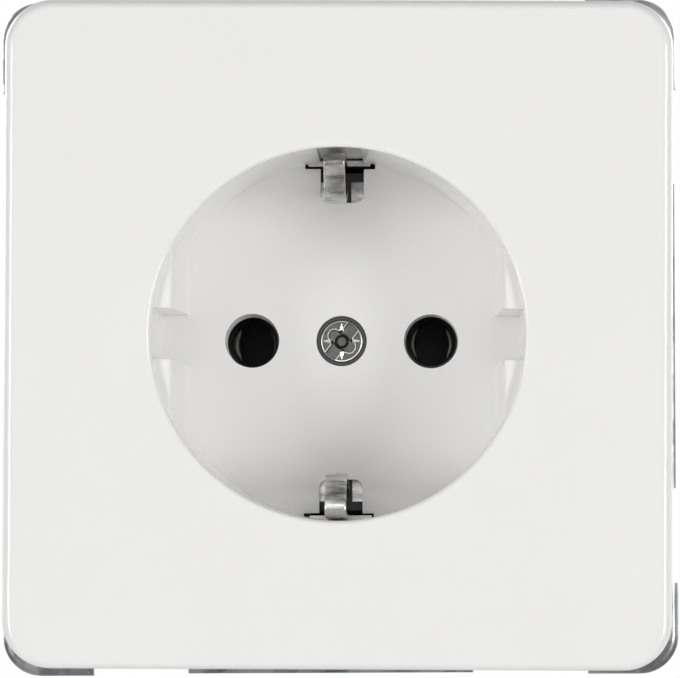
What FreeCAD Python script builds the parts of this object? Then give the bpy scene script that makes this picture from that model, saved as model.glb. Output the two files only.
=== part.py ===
import FreeCAD, Part
import math
import os
import Sketcher

# A flush earthed wall socket with round recess, side pin holes and two earth clips.
# X is to the right, Z is up and Y runs into the wall, so the front looks along -Y.
# The origin is on the centre screw's axis, in the plane where the steel frame meets the wall.

# Every size is in millimetres or degrees: name, value, meaning.
SIZES = (
    ("front_reach", 10.3, "front face to the wall plane"),
    ("plate_side", 70.0, "side of the square cover plate"),
    ("plate_corner", 5.0, "corner radius of the plate"),
    ("plate_edge", 1.2, "rounding of the plate's front edge"),
    ("plate_crown", 1400.0, "radius of the slightly domed front face"),
    ("plate_skin", 2.6, "thickness of the plate behind its face"),
    ("plate_wall", 2.0, "thickness of the plate's side walls"),
    ("cover_twist", 0.45, "clockwise turn of the cover that the screw's play allows"),
    ("rib_place", 12.0, "stiffening ribs from the middle"),
    ("rib_width", 1.2, "thickness of a stiffening rib"),
    ("rib_reach", 3.2, "height of a stiffening rib"),
    ("recess_depth", 17.5, "front face to the recess floor"),
    ("recess_mouth", 19.55, "recess radius at the mouth"),
    ("recess_draft", 0.5, "narrowing of the recess radius down to the floor"),
    ("mouth_edge", 0.5, "rounding of the recess mouth"),
    ("ledge_depth", 1.2, "front face to the top of the side guides"),
    ("guide_inset", 2.25, "side guides inside the recess wall, at their top"),
    ("guide_draft", 1.0, "narrowing between a guide's top and the floor"),
    ("guide_edge", 0.45, "rounding of the guides' top edge"),
    ("guide_groove", 2.7, "half width of the groove in a guide"),
    ("bowl_wall", 2.05, "thickness of the recess wall at the mouth"),
    ("floor_skin", 2.0, "thickness of the recess floor"),
    ("pin_spacing", 19.0, "distance between the plug pins"),
    ("pin_hole", 2.875, "radius of the pin holes in the cover"),
    ("entry_step", 0.225, "narrowing from a pin hole to the contact entry behind it"),
    ("well_radius", 2.675, "radius of the screw's well"),
    ("well_depth", 2.2, "depth of the screw's well"),
    ("boss_radius", 4.4, "radius of the boss behind the well"),
    ("boss_skin", 1.4, "thickness of the boss under the screw head"),
    ("screw_radius", 1.5, "centre screw radius"),
    ("screw_head", 2.25, "centre screw head radius"),
    ("screw_head_high", 1.8, "centre screw head height"),
    ("screw_slot", 0.8, "slot width in the screw heads"),
    ("screw_slot_deep", 0.9, "slot depth in the screw heads"),
    ("screw_play", 0.2, "radial play round a screw shank"),
    ("clip_slot", 2.3, "half width of the earth clip's slot"),
    ("slot_inset", 4.15, "inner end of the clip's slot inside the clip's outer leg"),
    ("channel_room", 0.95, "room outside the leg at the top of the clip's channel"),
    ("clip_channel_top", 0.9, "front face to the top of the clip's channel"),
    ("clip_wing", 3.72, "half width of the slit for the clip's shoulders"),
    ("wing_offset", 0.22, "middle of the shoulder slits to the left of the socket's middle"),
    ("wing_inner", 0.55, "shoulder slit inside the leg"),
    ("wing_outer", 0.5, "shoulder slit outside the leg"),
    ("clip_wing_high", 0.8, "height of the shoulder slit above the floor"),
    ("slot_corner", 0.9, "corner radius of the clip's slot"),
    ("clip_width", 2.25, "width of the sprung clip leaf"),
    ("clip_offset", 0.375, "middle of the leaves to the left of the socket's middle"),
    ("clip_shoulder", 6.6, "width of the strap and its shoulders"),
    ("strap_offset", 0.15, "middle of the strap to the left of the socket's middle"),
    ("clip_sheet", 0.6, "thickness of the earth strap"),
    ("strap_bend", 0.9, "centreline bend radius of the strap behind the floor"),
    ("leg_inset", 0.7, "outer leg of the clip inside the recess mouth"),
    ("clip_fold", 3.7, "front face to the clip's front fold"),
    ("clip_fold_radius", 0.75, "centreline radius of the front fold"),
    ("fold_inner", 0.63, "centreline radius of the leaf's side of the fold"),
    ("apex_inset", 4.65, "innermost point of the clip inside its outer leg"),
    ("clip_apex_depth", 10.6, "front face to the clip's innermost point"),
    ("clip_apex_radius", 3.0, "centreline radius at the innermost point"),
    ("tail_inset", 2.65, "free end of the clip inside its outer leg"),
    ("sheet_play", 0.1, "gap between a sheet and the moulding that holds it"),
    ("shoulder_gap", 0.2, "gap above the strap's shoulders"),
    ("tail_gap", 0.3, "free end of the clip in front of the floor's back"),
    ("metal_gap", 0.4, "gap between loose metal and the end of its space"),
    ("frame_side", 71.0, "side of the steel frame"),
    ("frame_corner", 4.0, "corner radius of the steel frame"),
    ("frame_reach", 2.0, "height of the frame above the wall"),
    ("frame_sheet", 1.0, "thickness of the frame's steel"),
    ("frame_bend", 0.8, "outer bend radius of the frame's rims"),
    ("frame_gap", 0.6, "gap between the cover's recess and the frame's opening"),
    ("notch_near", 16.0, "inner end of the rim notches from the middle"),
    ("notch_far", 26.0, "outer end of the rim notches from the middle"),
    ("notch_odd", 13.9, "inner end of the one wider notch"),
    ("notch_depth", 2.2, "depth of the rim notches"),
    ("strip_step", 0.2, "step of the middle rims behind the corner rims"),
    ("box_spacing", 60.0, "distance between the two box screws"),
    ("box_hole", 1.8, "radius of the box screw holes"),
    ("base_gap", 0.3, "gap between the cover's recess and the base cup"),
    ("cup_wall", 2.6, "thickness of the base cup's wall"),
    ("flat_wall", 1.0, "thickness of the cup's wall at its side flats"),
    ("block_wall", 3.3, "side flats of the base block outside the contact pockets"),
    ("base_plate", 3.6, "thickness of the base's front plate"),
    ("terminal_room", 8.3, "face of the clamping rails to the back of the base"),
    ("ear_reach", 2.4, "middle of the fixing ears outside the base"),
    ("ear_radius", 2.7, "radius of a fixing ear"),
    ("ear_length", 5.0, "length of a fixing ear"),
    ("rivet_radius", 1.25, "radius of a frame rivet"),
    ("rivet_head", 2.2, "radius of a rivet head"),
    ("rivet_head_high", 0.7, "height of a rivet head"),
    ("pocket_near", 6.2, "inner wall of the contact pockets from the middle"),
    ("pocket_far", 16.2, "outer wall of the contact pockets from the middle"),
    ("pocket_top", 4.5, "top of the contact pockets"),
    ("rail_inset", 9.9, "clamping rails of live and neutral inside the base's radius"),
    ("earth_rail_inset", 2.45, "clamping rail of the earth terminal inside the clip's leg"),
    ("rail_room", 1.2, "room behind a clamping rail"),
    ("channel_half", 3.8, "half width of the strap's channel in the base"),
    ("channel_reach", 0.85, "end of the strap's channel outside the clip's leg"),
    ("earth_chamber", 6.0, "half width of the earth terminal's chamber"),
    ("chamber_length", 9.0, "inner end of the earth terminal's chamber from its rail"),
    ("contact_sheet", 0.8, "thickness of the contact bronze"),
    ("entry_throat", 2.45, "inner radius of the contact sleeves"),
    ("sleeve_wall", 0.6, "thickness of the contact sleeve"),
    ("sleeve_slit", 1.0, "width of the slit in a contact sleeve"),
    ("sleeve_length", 7.6, "length of a contact sleeve"),
    ("terminal_width", 8.8, "width of the rails and clamping springs"),
    ("spring_sheet", 0.35, "thickness of the clamping springs"),
    ("spring_turn", 0.21, "bend radius of a clamping spring as a share of its leg"),
    ("spring_lean", 0.6, "fixed leg beside its button as a share of the bend radius"),
    ("spring_gap", 0.3, "gap between a clamping spring and the contact sheet"),
    ("wire_radius", 1.5, "radius of the wire entries"),
    ("wire_spacing", 5.2, "distance between the two wires of a terminal"),
    ("wire_place", 1.9, "wire axis from its rail's inner face"),
    ("rear_skin", 4.5, "thickness of the rear cover"),
    ("rear_bevel", 0.8, "bevel round the back of the rear cover"),
    ("rear_screw_x", 14.5, "rear screws to the side of the middle"),
    ("rear_screw_drop", 1.6, "rear screws nearer to the middle than the clamping rails"),
    ("rear_screw_radius", 1.1, "radius of the rear screws"),
    ("rear_screw_head", 2.2, "radius of the rear screw heads"),
    ("rear_head_high", 1.54, "height of the rear screw heads"),
    ("rear_screw_room", 1.0, "room past the end of a rear screw"),
    ("rear_screw_length", 10.0, "length of the rear screws below the head"),
    ("button_width", 6.0, "width of a release button"),
    ("button_high", 2.4, "height of a release button"),
    ("button_place", 5.3, "release button from its rail's inner face"),
    ("button_proud", 1.4, "release button's reach past the rear cover"),
    ("button_flange", 0.6, "flange that keeps a release button in"),
    ("button_travel", 1.2, "press of a release button"),
    ("button_stop", 0.3, "gap left to the spring at full press"),
    ("button_play", 0.15, "gap round a release button"),
    ("nut_side", 6.0, "side of the centre nut"),
    ("nut_thick", 2.8, "thickness of the centre nut"),
    ("screw_past_nut", 0.5, "reach of the centre screw past its nut"),
    ("thread_play", 0.05, "radial gap in a threaded pair"),
    ("claw_screw_out", 2.7, "claw screws outside the cup's flats"),
    ("claw_screw_radius", 1.75, "radius of a claw screw"),
    ("claw_screw_length", 19.0, "length of a claw screw below the head"),
    ("claw_head", 3.1, "radius of a claw screw head"),
    ("claw_head_high", 1.8, "height of a claw screw head"),
    ("claw_sheet", 1.0, "thickness of a claw"),
    ("claw_width", 9.0, "width of a claw"),
    ("claw_pivot_out", 0.7, "pivot of a claw outside the cup's flats"),
    ("claw_depth", 5.5, "wall plane to the claw's foot"),
    ("claw_arm_out", 3.1, "claw's arm outside its screw"),
    ("claw_end", 20.5, "wall plane to the claw's toothed end"),
    ("claw_play", 0.35, "radial play of a claw on its screw"),
    ("claw_tooth", 1.2, "depth of the claw's teeth"),
    ("tooth_share", 0.8, "share of the claw's width that its gaps take"),
    ("claw_lip", 1.5, "thickness of the lip that a claw bears on"),
    ("claw_lip_gap", 0.2, "gap between a claw and its lip"),
)

doc = FreeCAD.newDocument("wall_socket")
sheet = doc.addObject("Spreadsheet::Sheet", "Sizes")
for row, (alias, value, meaning) in enumerate(SIZES, start=1):
    sheet.set(f"A{row}", meaning)
    sheet.set(f"B{row}", str(value))
    sheet.setAlias(f"B{row}", alias)
doc.recompute()


class Dim:
    """A length as a number and as the expression that gives it from the sheet."""

    def __init__(self, value, text):
        self.value = float(value)
        self.text = text

    def __add__(self, other):
        other = dim(other)
        return Dim(self.value + other.value, f"({self.text} + {other.text})")

    def __sub__(self, other):
        other = dim(other)
        return Dim(self.value - other.value, f"({self.text} - {other.text})")

    def __mul__(self, other):
        other = dim(other)
        return Dim(self.value * other.value, f"({self.text} * {other.text})")

    def __truediv__(self, other):
        other = dim(other)
        return Dim(self.value / other.value, f"({self.text} / {other.text})")

    def __neg__(self):
        return Dim(-self.value, f"(0 - {self.text})")

    def __float__(self):
        return self.value


def dim(number):
    """Take a plain number or a Dim and give a Dim."""
    return number if isinstance(number, Dim) else Dim(number, repr(float(number)))


def root(square):
    """Square root of a Dim."""
    return Dim(math.sqrt(square.value), f"sqrt({square.text})")


def slope_angle(rise, run):
    """Angle in degrees whose tangent is rise over run."""
    return Dim(math.degrees(math.atan(rise.value / run.value)), f"atan({rise.text} / {run.text})")


class Sheet:
    """The driving dimensions by name, read from the sheet."""

    def __getattr__(self, alias):
        return Dim(getattr(sheet, alias), f"Sizes.{alias}")


S = Sheet()
ZERO = dim(0)
BOTH = (-1, 1)
SUB_PARTS = []

# Straight lines that make up a rounded edge, and the turn of each in degrees.
EDGE_STEPS = 3
EDGE_TURN = 90 / EDGE_STEPS

# How close two lengths are when they count as the same, and how far a cut runs past a face.
SAME = 0.02
PAST = 1.0

# Gaps between the teeth of a claw.
CLAW_GAPS = 3

# A screw head's slots: their turn in degrees and their half length as a share of the head.
SLOT = ((90, 1.1),)
SLOT_AND_CROSS = ((45, 1.1), (135, 0.55))

# Planes across the depth, from the front to the back.
FRONT = -S.front_reach
PLATE_UNDER = FRONT + S.plate_skin
LEDGE = FRONT + S.ledge_depth
CHANNEL_TOP = FRONT + S.clip_channel_top
FRAME_FACE = -S.frame_reach
FRAME_BACK = FRAME_FACE + S.frame_sheet
FLOOR = FRONT + S.recess_depth
WING_TOP = FLOOR - S.clip_wing_high
FLOOR_BACK = FLOOR + S.floor_skin
WELL = FLOOR + S.well_depth
BOSS_BACK = WELL + S.boss_skin
BASE_FRONT = FLOOR_BACK + S.sheet_play
BASE_BACK = BASE_FRONT + S.base_plate
STRAP_BACK = BASE_BACK + S.sheet_play + S.clip_sheet
RAIL_FACE = STRAP_BACK + S.sheet_play
BASE_END = RAIL_FACE + S.terminal_room
REAR = BASE_END + S.rear_skin
RAIL_END = BASE_END - S.metal_gap

# Places across the face.
PIN = S.pin_spacing / 2
ENTRY_MOUTH = S.pin_hole - S.entry_step
RECESS_BASE = S.recess_mouth - S.recess_draft
GUIDE_MOUTH = S.recess_mouth - S.guide_inset
GUIDE_BASE = GUIDE_MOUTH - S.guide_draft
BOWL = S.recess_mouth + S.bowl_wall
CUP = BOWL + S.base_gap
FRAME_OPENING = BOWL + S.frame_gap
BASE_RADIUS = CUP + S.cup_wall
CUP_FLAT = CUP + S.flat_wall
BLOCK_FLAT = S.pocket_far + S.block_wall
EAR = (BASE_RADIUS + S.ear_reach) * root(dim(0.5))
POCKET_MID = (S.pocket_near + S.pocket_far) / 2

# Places of the earth clip, all from its outer leg, and of the metal that follows it.
CLIP_LEG = S.recess_mouth - S.leg_inset
SLOT_NEAR = CLIP_LEG - S.slot_inset
CHANNEL_FAR = CLIP_LEG + S.channel_room
WING_NEAR = CLIP_LEG - S.wing_inner
WING_FAR = CLIP_LEG + S.wing_outer
CHANNEL_END = CLIP_LEG + S.channel_reach
EARTH_RAIL = CLIP_LEG - S.earth_rail_inset
CHAMBER_NEAR = EARTH_RAIL - S.chamber_length
RAIL = BASE_RADIUS - S.rail_inset
REAR_SCREW_UP = RAIL - S.rear_screw_drop
CLAW_SCREW = CUP_FLAT + S.claw_screw_out
CLAW_PIVOT = CUP_FLAT + S.claw_pivot_out
CLAW_ARM = CLAW_SCREW + S.claw_arm_out


def bind(item, prop, amount):
    """Drive a property of an object from the sheet."""
    item.setExpression(prop, dim(amount).text)


def body(label):
    """Start a sub-part that is built from sketches."""
    made = doc.addObject("PartDesign::Body", label)
    made.Label = label
    SUB_PARTS.append(made)
    return made


def sketch(owner, name, depth=ZERO, role="XZ_Plane"):
    """Start a sketch on an origin plane of its own body, at the given depth."""
    made = owner.newObject("Sketcher::SketchObject", name)
    plane = [item for item in owner.Origin.OriginFeatures if item.Role == role][0]
    made.AttachmentSupport = (plane, "")
    made.MapMode = "FlatFace"
    bind(made, "AttachmentOffset.Base.z", -dim(depth))
    return made


def place_point(drawing, item, end, across, up):
    """Fix a point of a sketch at a place that the sheet gives."""
    for kind, amount in (("DistanceX", across), ("DistanceY", up)):
        if amount is not None:
            amount = dim(amount)
            index = drawing.addConstraint(Sketcher.Constraint(kind, -1, 1, item, end, amount.value))
            drawing.setExpression(f"Constraints[{index}]", amount.text)


def set_radius(drawing, item, radius):
    """Fix the radius of a circle or an arc."""
    index = drawing.addConstraint(Sketcher.Constraint("Radius", item, dim(radius).value))
    drawing.setExpression(f"Constraints[{index}]", dim(radius).text)


def polygon(drawing, points):
    """Draw a closed outline of straight lines."""
    first = drawing.GeometryCount
    count = len(points)
    spots = [FreeCAD.Vector(float(across), float(up), 0) for across, up in points]
    for step in range(count):
        drawing.addGeometry(Part.LineSegment(spots[step], spots[(step + 1) % count]), False)
    for step in range(count):
        following = first + (step + 1) % count
        drawing.addConstraint(Sketcher.Constraint("Coincident", first + step, 2, following, 1))
    for step, (across, up) in enumerate(points):
        place_point(drawing, first + step, 1, across, up)


def rectangle(drawing, left, right, bottom, top):
    """Draw a rectangle between four limits."""
    polygon(drawing, ((left, bottom), (right, bottom), (right, top), (left, top)))


def circle(drawing, across, up, radius):
    """Draw a circle."""
    centre = FreeCAD.Vector(float(dim(across)), float(dim(up)), 0)
    shape = Part.Circle(centre, FreeCAD.Vector(0, 0, 1), float(dim(radius)))
    item = drawing.addGeometry(shape, False)
    place_point(drawing, item, 3, across, up)
    set_radius(drawing, item, radius)


def clipped_circle(drawing, radius, flat, upright=True):
    """Draw a circle with two parallel flats, upright at the sides or level above and below."""
    half = root(radius * radius - flat * flat)
    lean = math.atan2(half.value, flat.value)
    corners = ((flat, -half), (flat, half), (-flat, half), (-flat, -half))
    angles = ((lean, math.pi - lean), (math.pi + lean, 2 * math.pi - lean))
    if not upright:
        corners = ((half, flat), (-half, flat), (-half, -flat), (half, -flat))
        lean = math.atan2(flat.value, half.value)
        angles = ((math.pi - lean, math.pi + lean), (-lean, lean))
    spots = [FreeCAD.Vector(float(across), float(up), 0) for across, up in corners]
    round_line = Part.Circle(FreeCAD.Vector(0, 0, 0), FreeCAD.Vector(0, 0, 1), radius.value)
    items = []
    for side in range(2):
        items.append(drawing.addGeometry(Part.LineSegment(spots[2 * side], spots[2 * side + 1]), False))
        items.append(drawing.addGeometry(Part.ArcOfCircle(round_line, *angles[side]), False))
    for step in range(4):
        following = items[(step + 1) % 4]
        drawing.addConstraint(Sketcher.Constraint("Coincident", items[step], 2, following, 1))
    for side in range(2):
        line, arc = items[2 * side], items[2 * side + 1]
        drawing.addConstraint(Sketcher.Constraint("Coincident", arc, 3, -1, 1))
        set_radius(drawing, arc, radius)
        drawing.addConstraint(Sketcher.Constraint("Vertical" if upright else "Horizontal", line))
        place_point(drawing, line, 1, corners[2 * side][0] if upright else None,
                    None if upright else corners[2 * side][1])


def rounded_square(drawing, half, radius):
    """Draw a square with rounded corners round the origin."""
    inner = half - radius
    arcs = []
    for turn in range(4):
        across = inner if turn in (0, 3) else -inner
        up = inner if turn in (0, 1) else -inner
        centre = FreeCAD.Vector(float(across), float(up), 0)
        round_line = Part.Circle(centre, FreeCAD.Vector(0, 0, 1), radius.value)
        start = turn * math.pi / 2
        arc = drawing.addGeometry(Part.ArcOfCircle(round_line, start, start + math.pi / 2), False)
        place_point(drawing, arc, 3, across, up)
        level_first = turn in (0, 2)
        first_kind, second_kind = ("Horizontal", "Vertical") if level_first else ("Vertical", "Horizontal")
        drawing.addConstraint(Sketcher.Constraint(first_kind, arc, 1, arc, 3))
        drawing.addConstraint(Sketcher.Constraint(second_kind, arc, 2, arc, 3))
        set_radius(drawing, arc, radius)
        arcs.append(arc)
    for turn, arc in enumerate(arcs):
        following = arcs[(turn + 1) % 4]
        points = []
        for item, end in ((arc, 2), (following, 1)):
            points.append(drawing.getPoint(item, end))
        line = drawing.addGeometry(Part.LineSegment(*points), False)
        drawing.addConstraint(Sketcher.Constraint("Coincident", arc, 2, line, 1))
        drawing.addConstraint(Sketcher.Constraint("Coincident", line, 2, following, 1))


def pad(owner, drawing, length):
    """Add the sketched outline, from its plane towards the front."""
    made = owner.newObject("PartDesign::Pad", drawing.Name + "_pad")
    made.Profile = drawing
    bind(made, "Length", length)
    drawing.Visibility = False
    return made


def pocket(owner, drawing, depth, forwards=False, taper=None):
    """Cut the sketched outline, from its plane towards the wall or forwards."""
    made = owner.newObject("PartDesign::Pocket", drawing.Name + "_cut")
    made.Profile = drawing
    made.Reversed = forwards
    bind(made, "Length", depth)
    if taper is not None:
        bind(made, "TaperAngle", taper)
    drawing.Visibility = False
    return made


def combine(owner, name, tool, kind):
    """Cut another body from a body, or keep what the two share."""
    doc.recompute()
    made = owner.newObject("PartDesign::Boolean", name)
    made.Type = kind
    made.setObjects([tool])
    return made


def round_edges(owner, name, radius, chosen, bevel=False):
    """Round, or bevel, the edges of the body so far that the test picks."""
    doc.recompute()
    before = owner.Tip
    names = [f"Edge{index}" for index, edge in enumerate(before.Shape.Edges, start=1) if chosen(edge)]
    if not names:
        raise RuntimeError(f"no edge to round for {name}")
    made = owner.newObject("PartDesign::Chamfer" if bevel else "PartDesign::Fillet", name)
    made.Base = (before, names)
    bind(made, "Size" if bevel else "Radius", radius)
    doc.recompute()
    return made


def near(first, second):
    """Tell whether two lengths agree."""
    return abs(float(first) - float(second)) < SAME


def runs_along_depth(edge):
    """Tell whether a straight edge runs into the wall."""
    box = edge.BoundBox
    return box.XLength < SAME and box.ZLength < SAME and box.YLength > SAME


def solid(label, shape):
    """Keep a shape made in code as a sub-part."""
    made = doc.addObject("Part::Feature", label)
    made.Label = label
    made.Shape = shape
    made.Placement = FreeCAD.Placement()
    SUB_PARTS.append(made)
    return made


def point_maker(plane):
    """Give the function that puts a flat point into the YZ or XY plane."""
    if plane == "YZ":
        return lambda up, depth: FreeCAD.Vector(0, depth, up)
    return lambda across, depth: FreeCAD.Vector(across, depth, 0)


def bent_strip(corners, bends, thickness, width, middle=0.0, plane="YZ"):
    """Make a bent sheet from its centreline's corners, bend radii, thickness and width."""
    place = point_maker(plane)
    flats = [FreeCAD.Vector(float(a), float(b), 0) for a, b in corners]
    half = float(thickness) / 2
    steps = [(flats[i + 1] - flats[i]).normalize() for i in range(len(flats) - 1)]
    sides = []
    for shift in (half, -half):
        edges = []
        start = flats[0] + FreeCAD.Vector(-steps[0].y, steps[0].x, 0) * shift
        for index in range(1, len(flats) - 1):
            before, after = steps[index - 1], steps[index]
            turn = math.atan2(before.x * after.y - before.y * after.x, before.dot(after))
            bend = float(bends[index - 1])
            reach = bend * math.tan(abs(turn) / 2)
            side = 1 if turn > 0 else -1
            normal_in = FreeCAD.Vector(-before.y, before.x, 0)
            normal_out = FreeCAD.Vector(-after.y, after.x, 0)
            centre = flats[index] - before * reach + normal_in * (side * bend)
            outward = (flats[index] - centre).normalize()
            radius = bend - side * shift
            into = flats[index] - before * reach + normal_in * shift
            away = flats[index] + after * reach + normal_out * shift
            edges.append(("line", start, into))
            edges.append(("arc", into, centre + outward * radius, away))
            start = away
        last = FreeCAD.Vector(-steps[-1].y, steps[-1].x, 0)
        edges.append(("line", start, flats[-1] + last * shift))
        sides.append(edges)
    curves = []
    for edges in sides:
        for edge in edges:
            spots = [place(spot.x, spot.y) for spot in edge[1:]]
            curve = Part.LineSegment(*spots) if edge[0] == "line" else Part.Arc(*spots)
            curves.append(curve.toShape())
    for end in (0, -1):
        spots = [place(edges[end][1 if end == 0 else -1].x, edges[end][1 if end == 0 else -1].y)
                 for edges in sides]
        curves.append(Part.LineSegment(*spots).toShape())
    outline = Part.Wire(Part.__sortEdges__(curves))
    sideways = FreeCAD.Vector(1, 0, 0) if plane == "YZ" else FreeCAD.Vector(0, 0, 1)
    face = Part.Face(outline)
    face.translate(sideways * (float(middle) - float(width) / 2))
    return face.extrude(sideways * float(width))


def rod(radius, start, length, across=0.0, up=0.0):
    """Make a plain cylinder along the depth."""
    base = FreeCAD.Vector(float(across), float(start), float(up))
    return Part.makeCylinder(float(radius), float(length), base, FreeCAD.Vector(0, 1, 0))


def block(left, right, near_end, far_end, bottom, top):
    """Make a plain block between six limits."""
    corner = FreeCAD.Vector(float(left), float(near_end), float(bottom))
    return Part.makeBox(float(right) - float(left), float(far_end) - float(near_end),
                        float(top) - float(bottom), corner)


def slotted_screw(radius, length, head, head_high, seat, across, up, slots=SLOT):
    """Make a screw whose head stands in front of its seat."""
    front = float(seat) - float(head_high)
    shape = rod(head, front, head_high, across, up).fuse(rod(radius, seat, length, across, up))
    half = float(S.screw_slot) / 2
    spot = FreeCAD.Vector(float(across), front, float(up))
    for turn, share in slots:
        reach = float(head) * share
        cut = Part.makeBox(2 * reach, float(S.screw_slot_deep), 2 * half,
                           FreeCAD.Vector(spot.x - reach, spot.y, spot.z - half))
        cut.rotate(spot, FreeCAD.Vector(0, 1, 0), -turn)
        shape = shape.cut(cut)
    return shape.removeSplitter()


def recess_core():
    """The recess as a solid: a drafted round with flats at its sides and a bar across them."""
    core = doc.addObject("PartDesign::Body", "recess_core")
    profile = sketch(core, "core_profile", ZERO, "XY_Plane")
    polygon(profile, ((ZERO, LEDGE), (S.recess_mouth, LEDGE), (RECESS_BASE, FLOOR), (ZERO, FLOOR)))
    turned = core.newObject("PartDesign::Revolution", "core_round")
    turned.Profile = profile
    turned.ReferenceAxis = (profile, ["V_Axis"])
    turned.Angle = 360
    outside = S.recess_mouth + PAST
    for name, side in (("lower", -1), ("upper", 1)):
        flats = sketch(core, name + "_flats", -S.guide_groove * side, "XY_Plane")
        for way in BOTH:
            out, foot = outside * way, GUIDE_BASE * way
            middle = (GUIDE_MOUTH + S.guide_edge) * way
            turns = [math.radians(EDGE_TURN * step) for step in range(EDGE_STEPS + 1)]
            rounding = [(middle - S.guide_edge * (way * math.sin(turn)),
                         LEDGE + S.guide_edge * (1 - math.cos(turn))) for turn in turns]
            polygon(flats, ((out, FLOOR), (out, LEDGE), *rounding, (foot, FLOOR)))
        pocket(core, flats, outside, forwards=side > 0)
    return core


def make_cover():
    """White moulding: square plate, round recess, side guides and the slots in its floor."""
    cover = body("cover_plate")
    half = S.plate_side / 2
    outline = sketch(cover, "plate_outline", FRAME_FACE)
    rectangle(outline, -half, half, -half, half)
    pad(cover, outline, FRAME_FACE - FRONT)
    round_edges(cover, "plate_corners", S.plate_corner, runs_along_depth)
    under = sketch(cover, "plate_under", FRAME_FACE)
    rounded_square(under, half - S.plate_wall, S.plate_corner - S.plate_wall)
    pocket(cover, under, FRAME_FACE - PLATE_UNDER, forwards=True)

    # Two pairs of ribs cross behind the plate and stiffen it.
    rib_end = half - S.plate_wall / 2
    for name, level in (("ribs_upright", False), ("ribs_level", True)):
        ribs = sketch(cover, name, PLATE_UNDER + S.rib_reach)
        for side in BOTH:
            low = S.rib_place * side - S.rib_width / 2
            high = low + S.rib_width
            limits = (-rib_end, rib_end, low, high) if level else (low, high, -rib_end, rib_end)
            rectangle(ribs, *limits)
        pad(cover, ribs, S.rib_reach + S.plate_skin / 2)

    bowl = sketch(cover, "bowl", FLOOR_BACK)
    circle(bowl, 0, 0, BOWL)
    pad(cover, bowl, FLOOR_BACK - PLATE_UNDER + S.plate_skin / 2)
    boss = sketch(cover, "screw_boss", BOSS_BACK)
    circle(boss, 0, 0, S.boss_radius)
    pad(cover, boss, BOSS_BACK - FLOOR_BACK + S.floor_skin / 2)

    mouth = sketch(cover, "mouth", FRONT)
    circle(mouth, 0, 0, S.recess_mouth)
    pocket(cover, mouth, S.ledge_depth)
    for name, side in (("lower", -1), ("upper", 1)):
        channel = sketch(cover, name + "_clip_channel", S.clip_slot, "YZ_Plane")
        channel_back = FLOOR + S.sheet_play
        polygon(channel, ((CHANNEL_TOP, WING_NEAR * side), (CHANNEL_TOP, CHANNEL_FAR * side),
                          (channel_back, WING_FAR * side), (channel_back, WING_NEAR * side)))
        pocket(cover, channel, S.clip_slot * 2, forwards=True)
        slot = sketch(cover, name + "_clip_slot", WING_TOP)
        rectangle(slot, -S.clip_slot, S.clip_slot, SLOT_NEAR * side, WING_FAR * side)
        pocket(cover, slot, FLOOR_BACK - WING_TOP + S.sheet_play)
        wing = sketch(cover, name + "_clip_wing", WING_TOP)
        rectangle(wing, -S.clip_wing - S.wing_offset, S.clip_wing - S.wing_offset,
                  WING_NEAR * side, WING_FAR * side)
        pocket(cover, wing, FLOOR_BACK - WING_TOP + S.sheet_play)

    combine(cover, "recess", recess_core(), "Cut")
    doc.recompute()

    def on_slot_corner(edge):
        box = edge.BoundBox
        return (runs_along_depth(edge) and near(abs(box.XMin), S.clip_slot)
                and near(abs(box.ZMin), SLOT_NEAR))

    round_edges(cover, "slot_corners", S.slot_corner, on_slot_corner)

    holes = sketch(cover, "pin_holes", FLOOR)
    for side in BOTH:
        circle(holes, PIN * side, 0, S.pin_hole)
    pocket(cover, holes, S.floor_skin + S.sheet_play)
    well = sketch(cover, "screw_well", FLOOR)
    circle(well, 0, 0, S.well_radius)
    pocket(cover, well, S.well_depth)
    shank = sketch(cover, "screw_hole", WELL)
    circle(shank, 0, 0, S.screw_radius + S.screw_play)
    pocket(cover, shank, S.boss_skin + S.sheet_play)

    # The face is part of a very large ball, so the moulding keeps only what lies inside it.
    ball = doc.addObject("PartDesign::Body", "face_ball")
    sphere = ball.newObject("PartDesign::AdditiveSphere", "face_sphere")
    bind(sphere, "Radius", S.plate_crown)
    bind(ball, "Placement.Base.y", FRONT + S.plate_crown)
    combine(cover, "domed_face", ball, "Common")
    doc.recompute()

    def on_front_edge(edge):
        box = edge.BoundBox
        spot = edge.Vertexes[0].Point
        reach = half.value - S.plate_edge.value
        outside = max(abs(spot.x), abs(spot.z)) > reach
        return outside and box.YMax < PLATE_UNDER.value and not runs_along_depth(edge)

    def on_mouth(edge):
        spot = edge.Vertexes[0].Point
        in_front = edge.BoundBox.YMax < CHANNEL_TOP.value - SAME
        return in_front and near(math.hypot(spot.x, spot.z), S.recess_mouth)

    round_edges(cover, "mouth_edge_round", S.mouth_edge, on_mouth)
    round_edges(cover, "front_edge", S.plate_edge, on_front_edge)
    cover.setExpression("Placement.Rotation.Angle", (-S.cover_twist).text)
    cover.Placement = FreeCAD.Placement(FreeCAD.Vector(), FreeCAD.Rotation(FreeCAD.Vector(0, -1, 0),
                                                                           -S.cover_twist.value))


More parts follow.
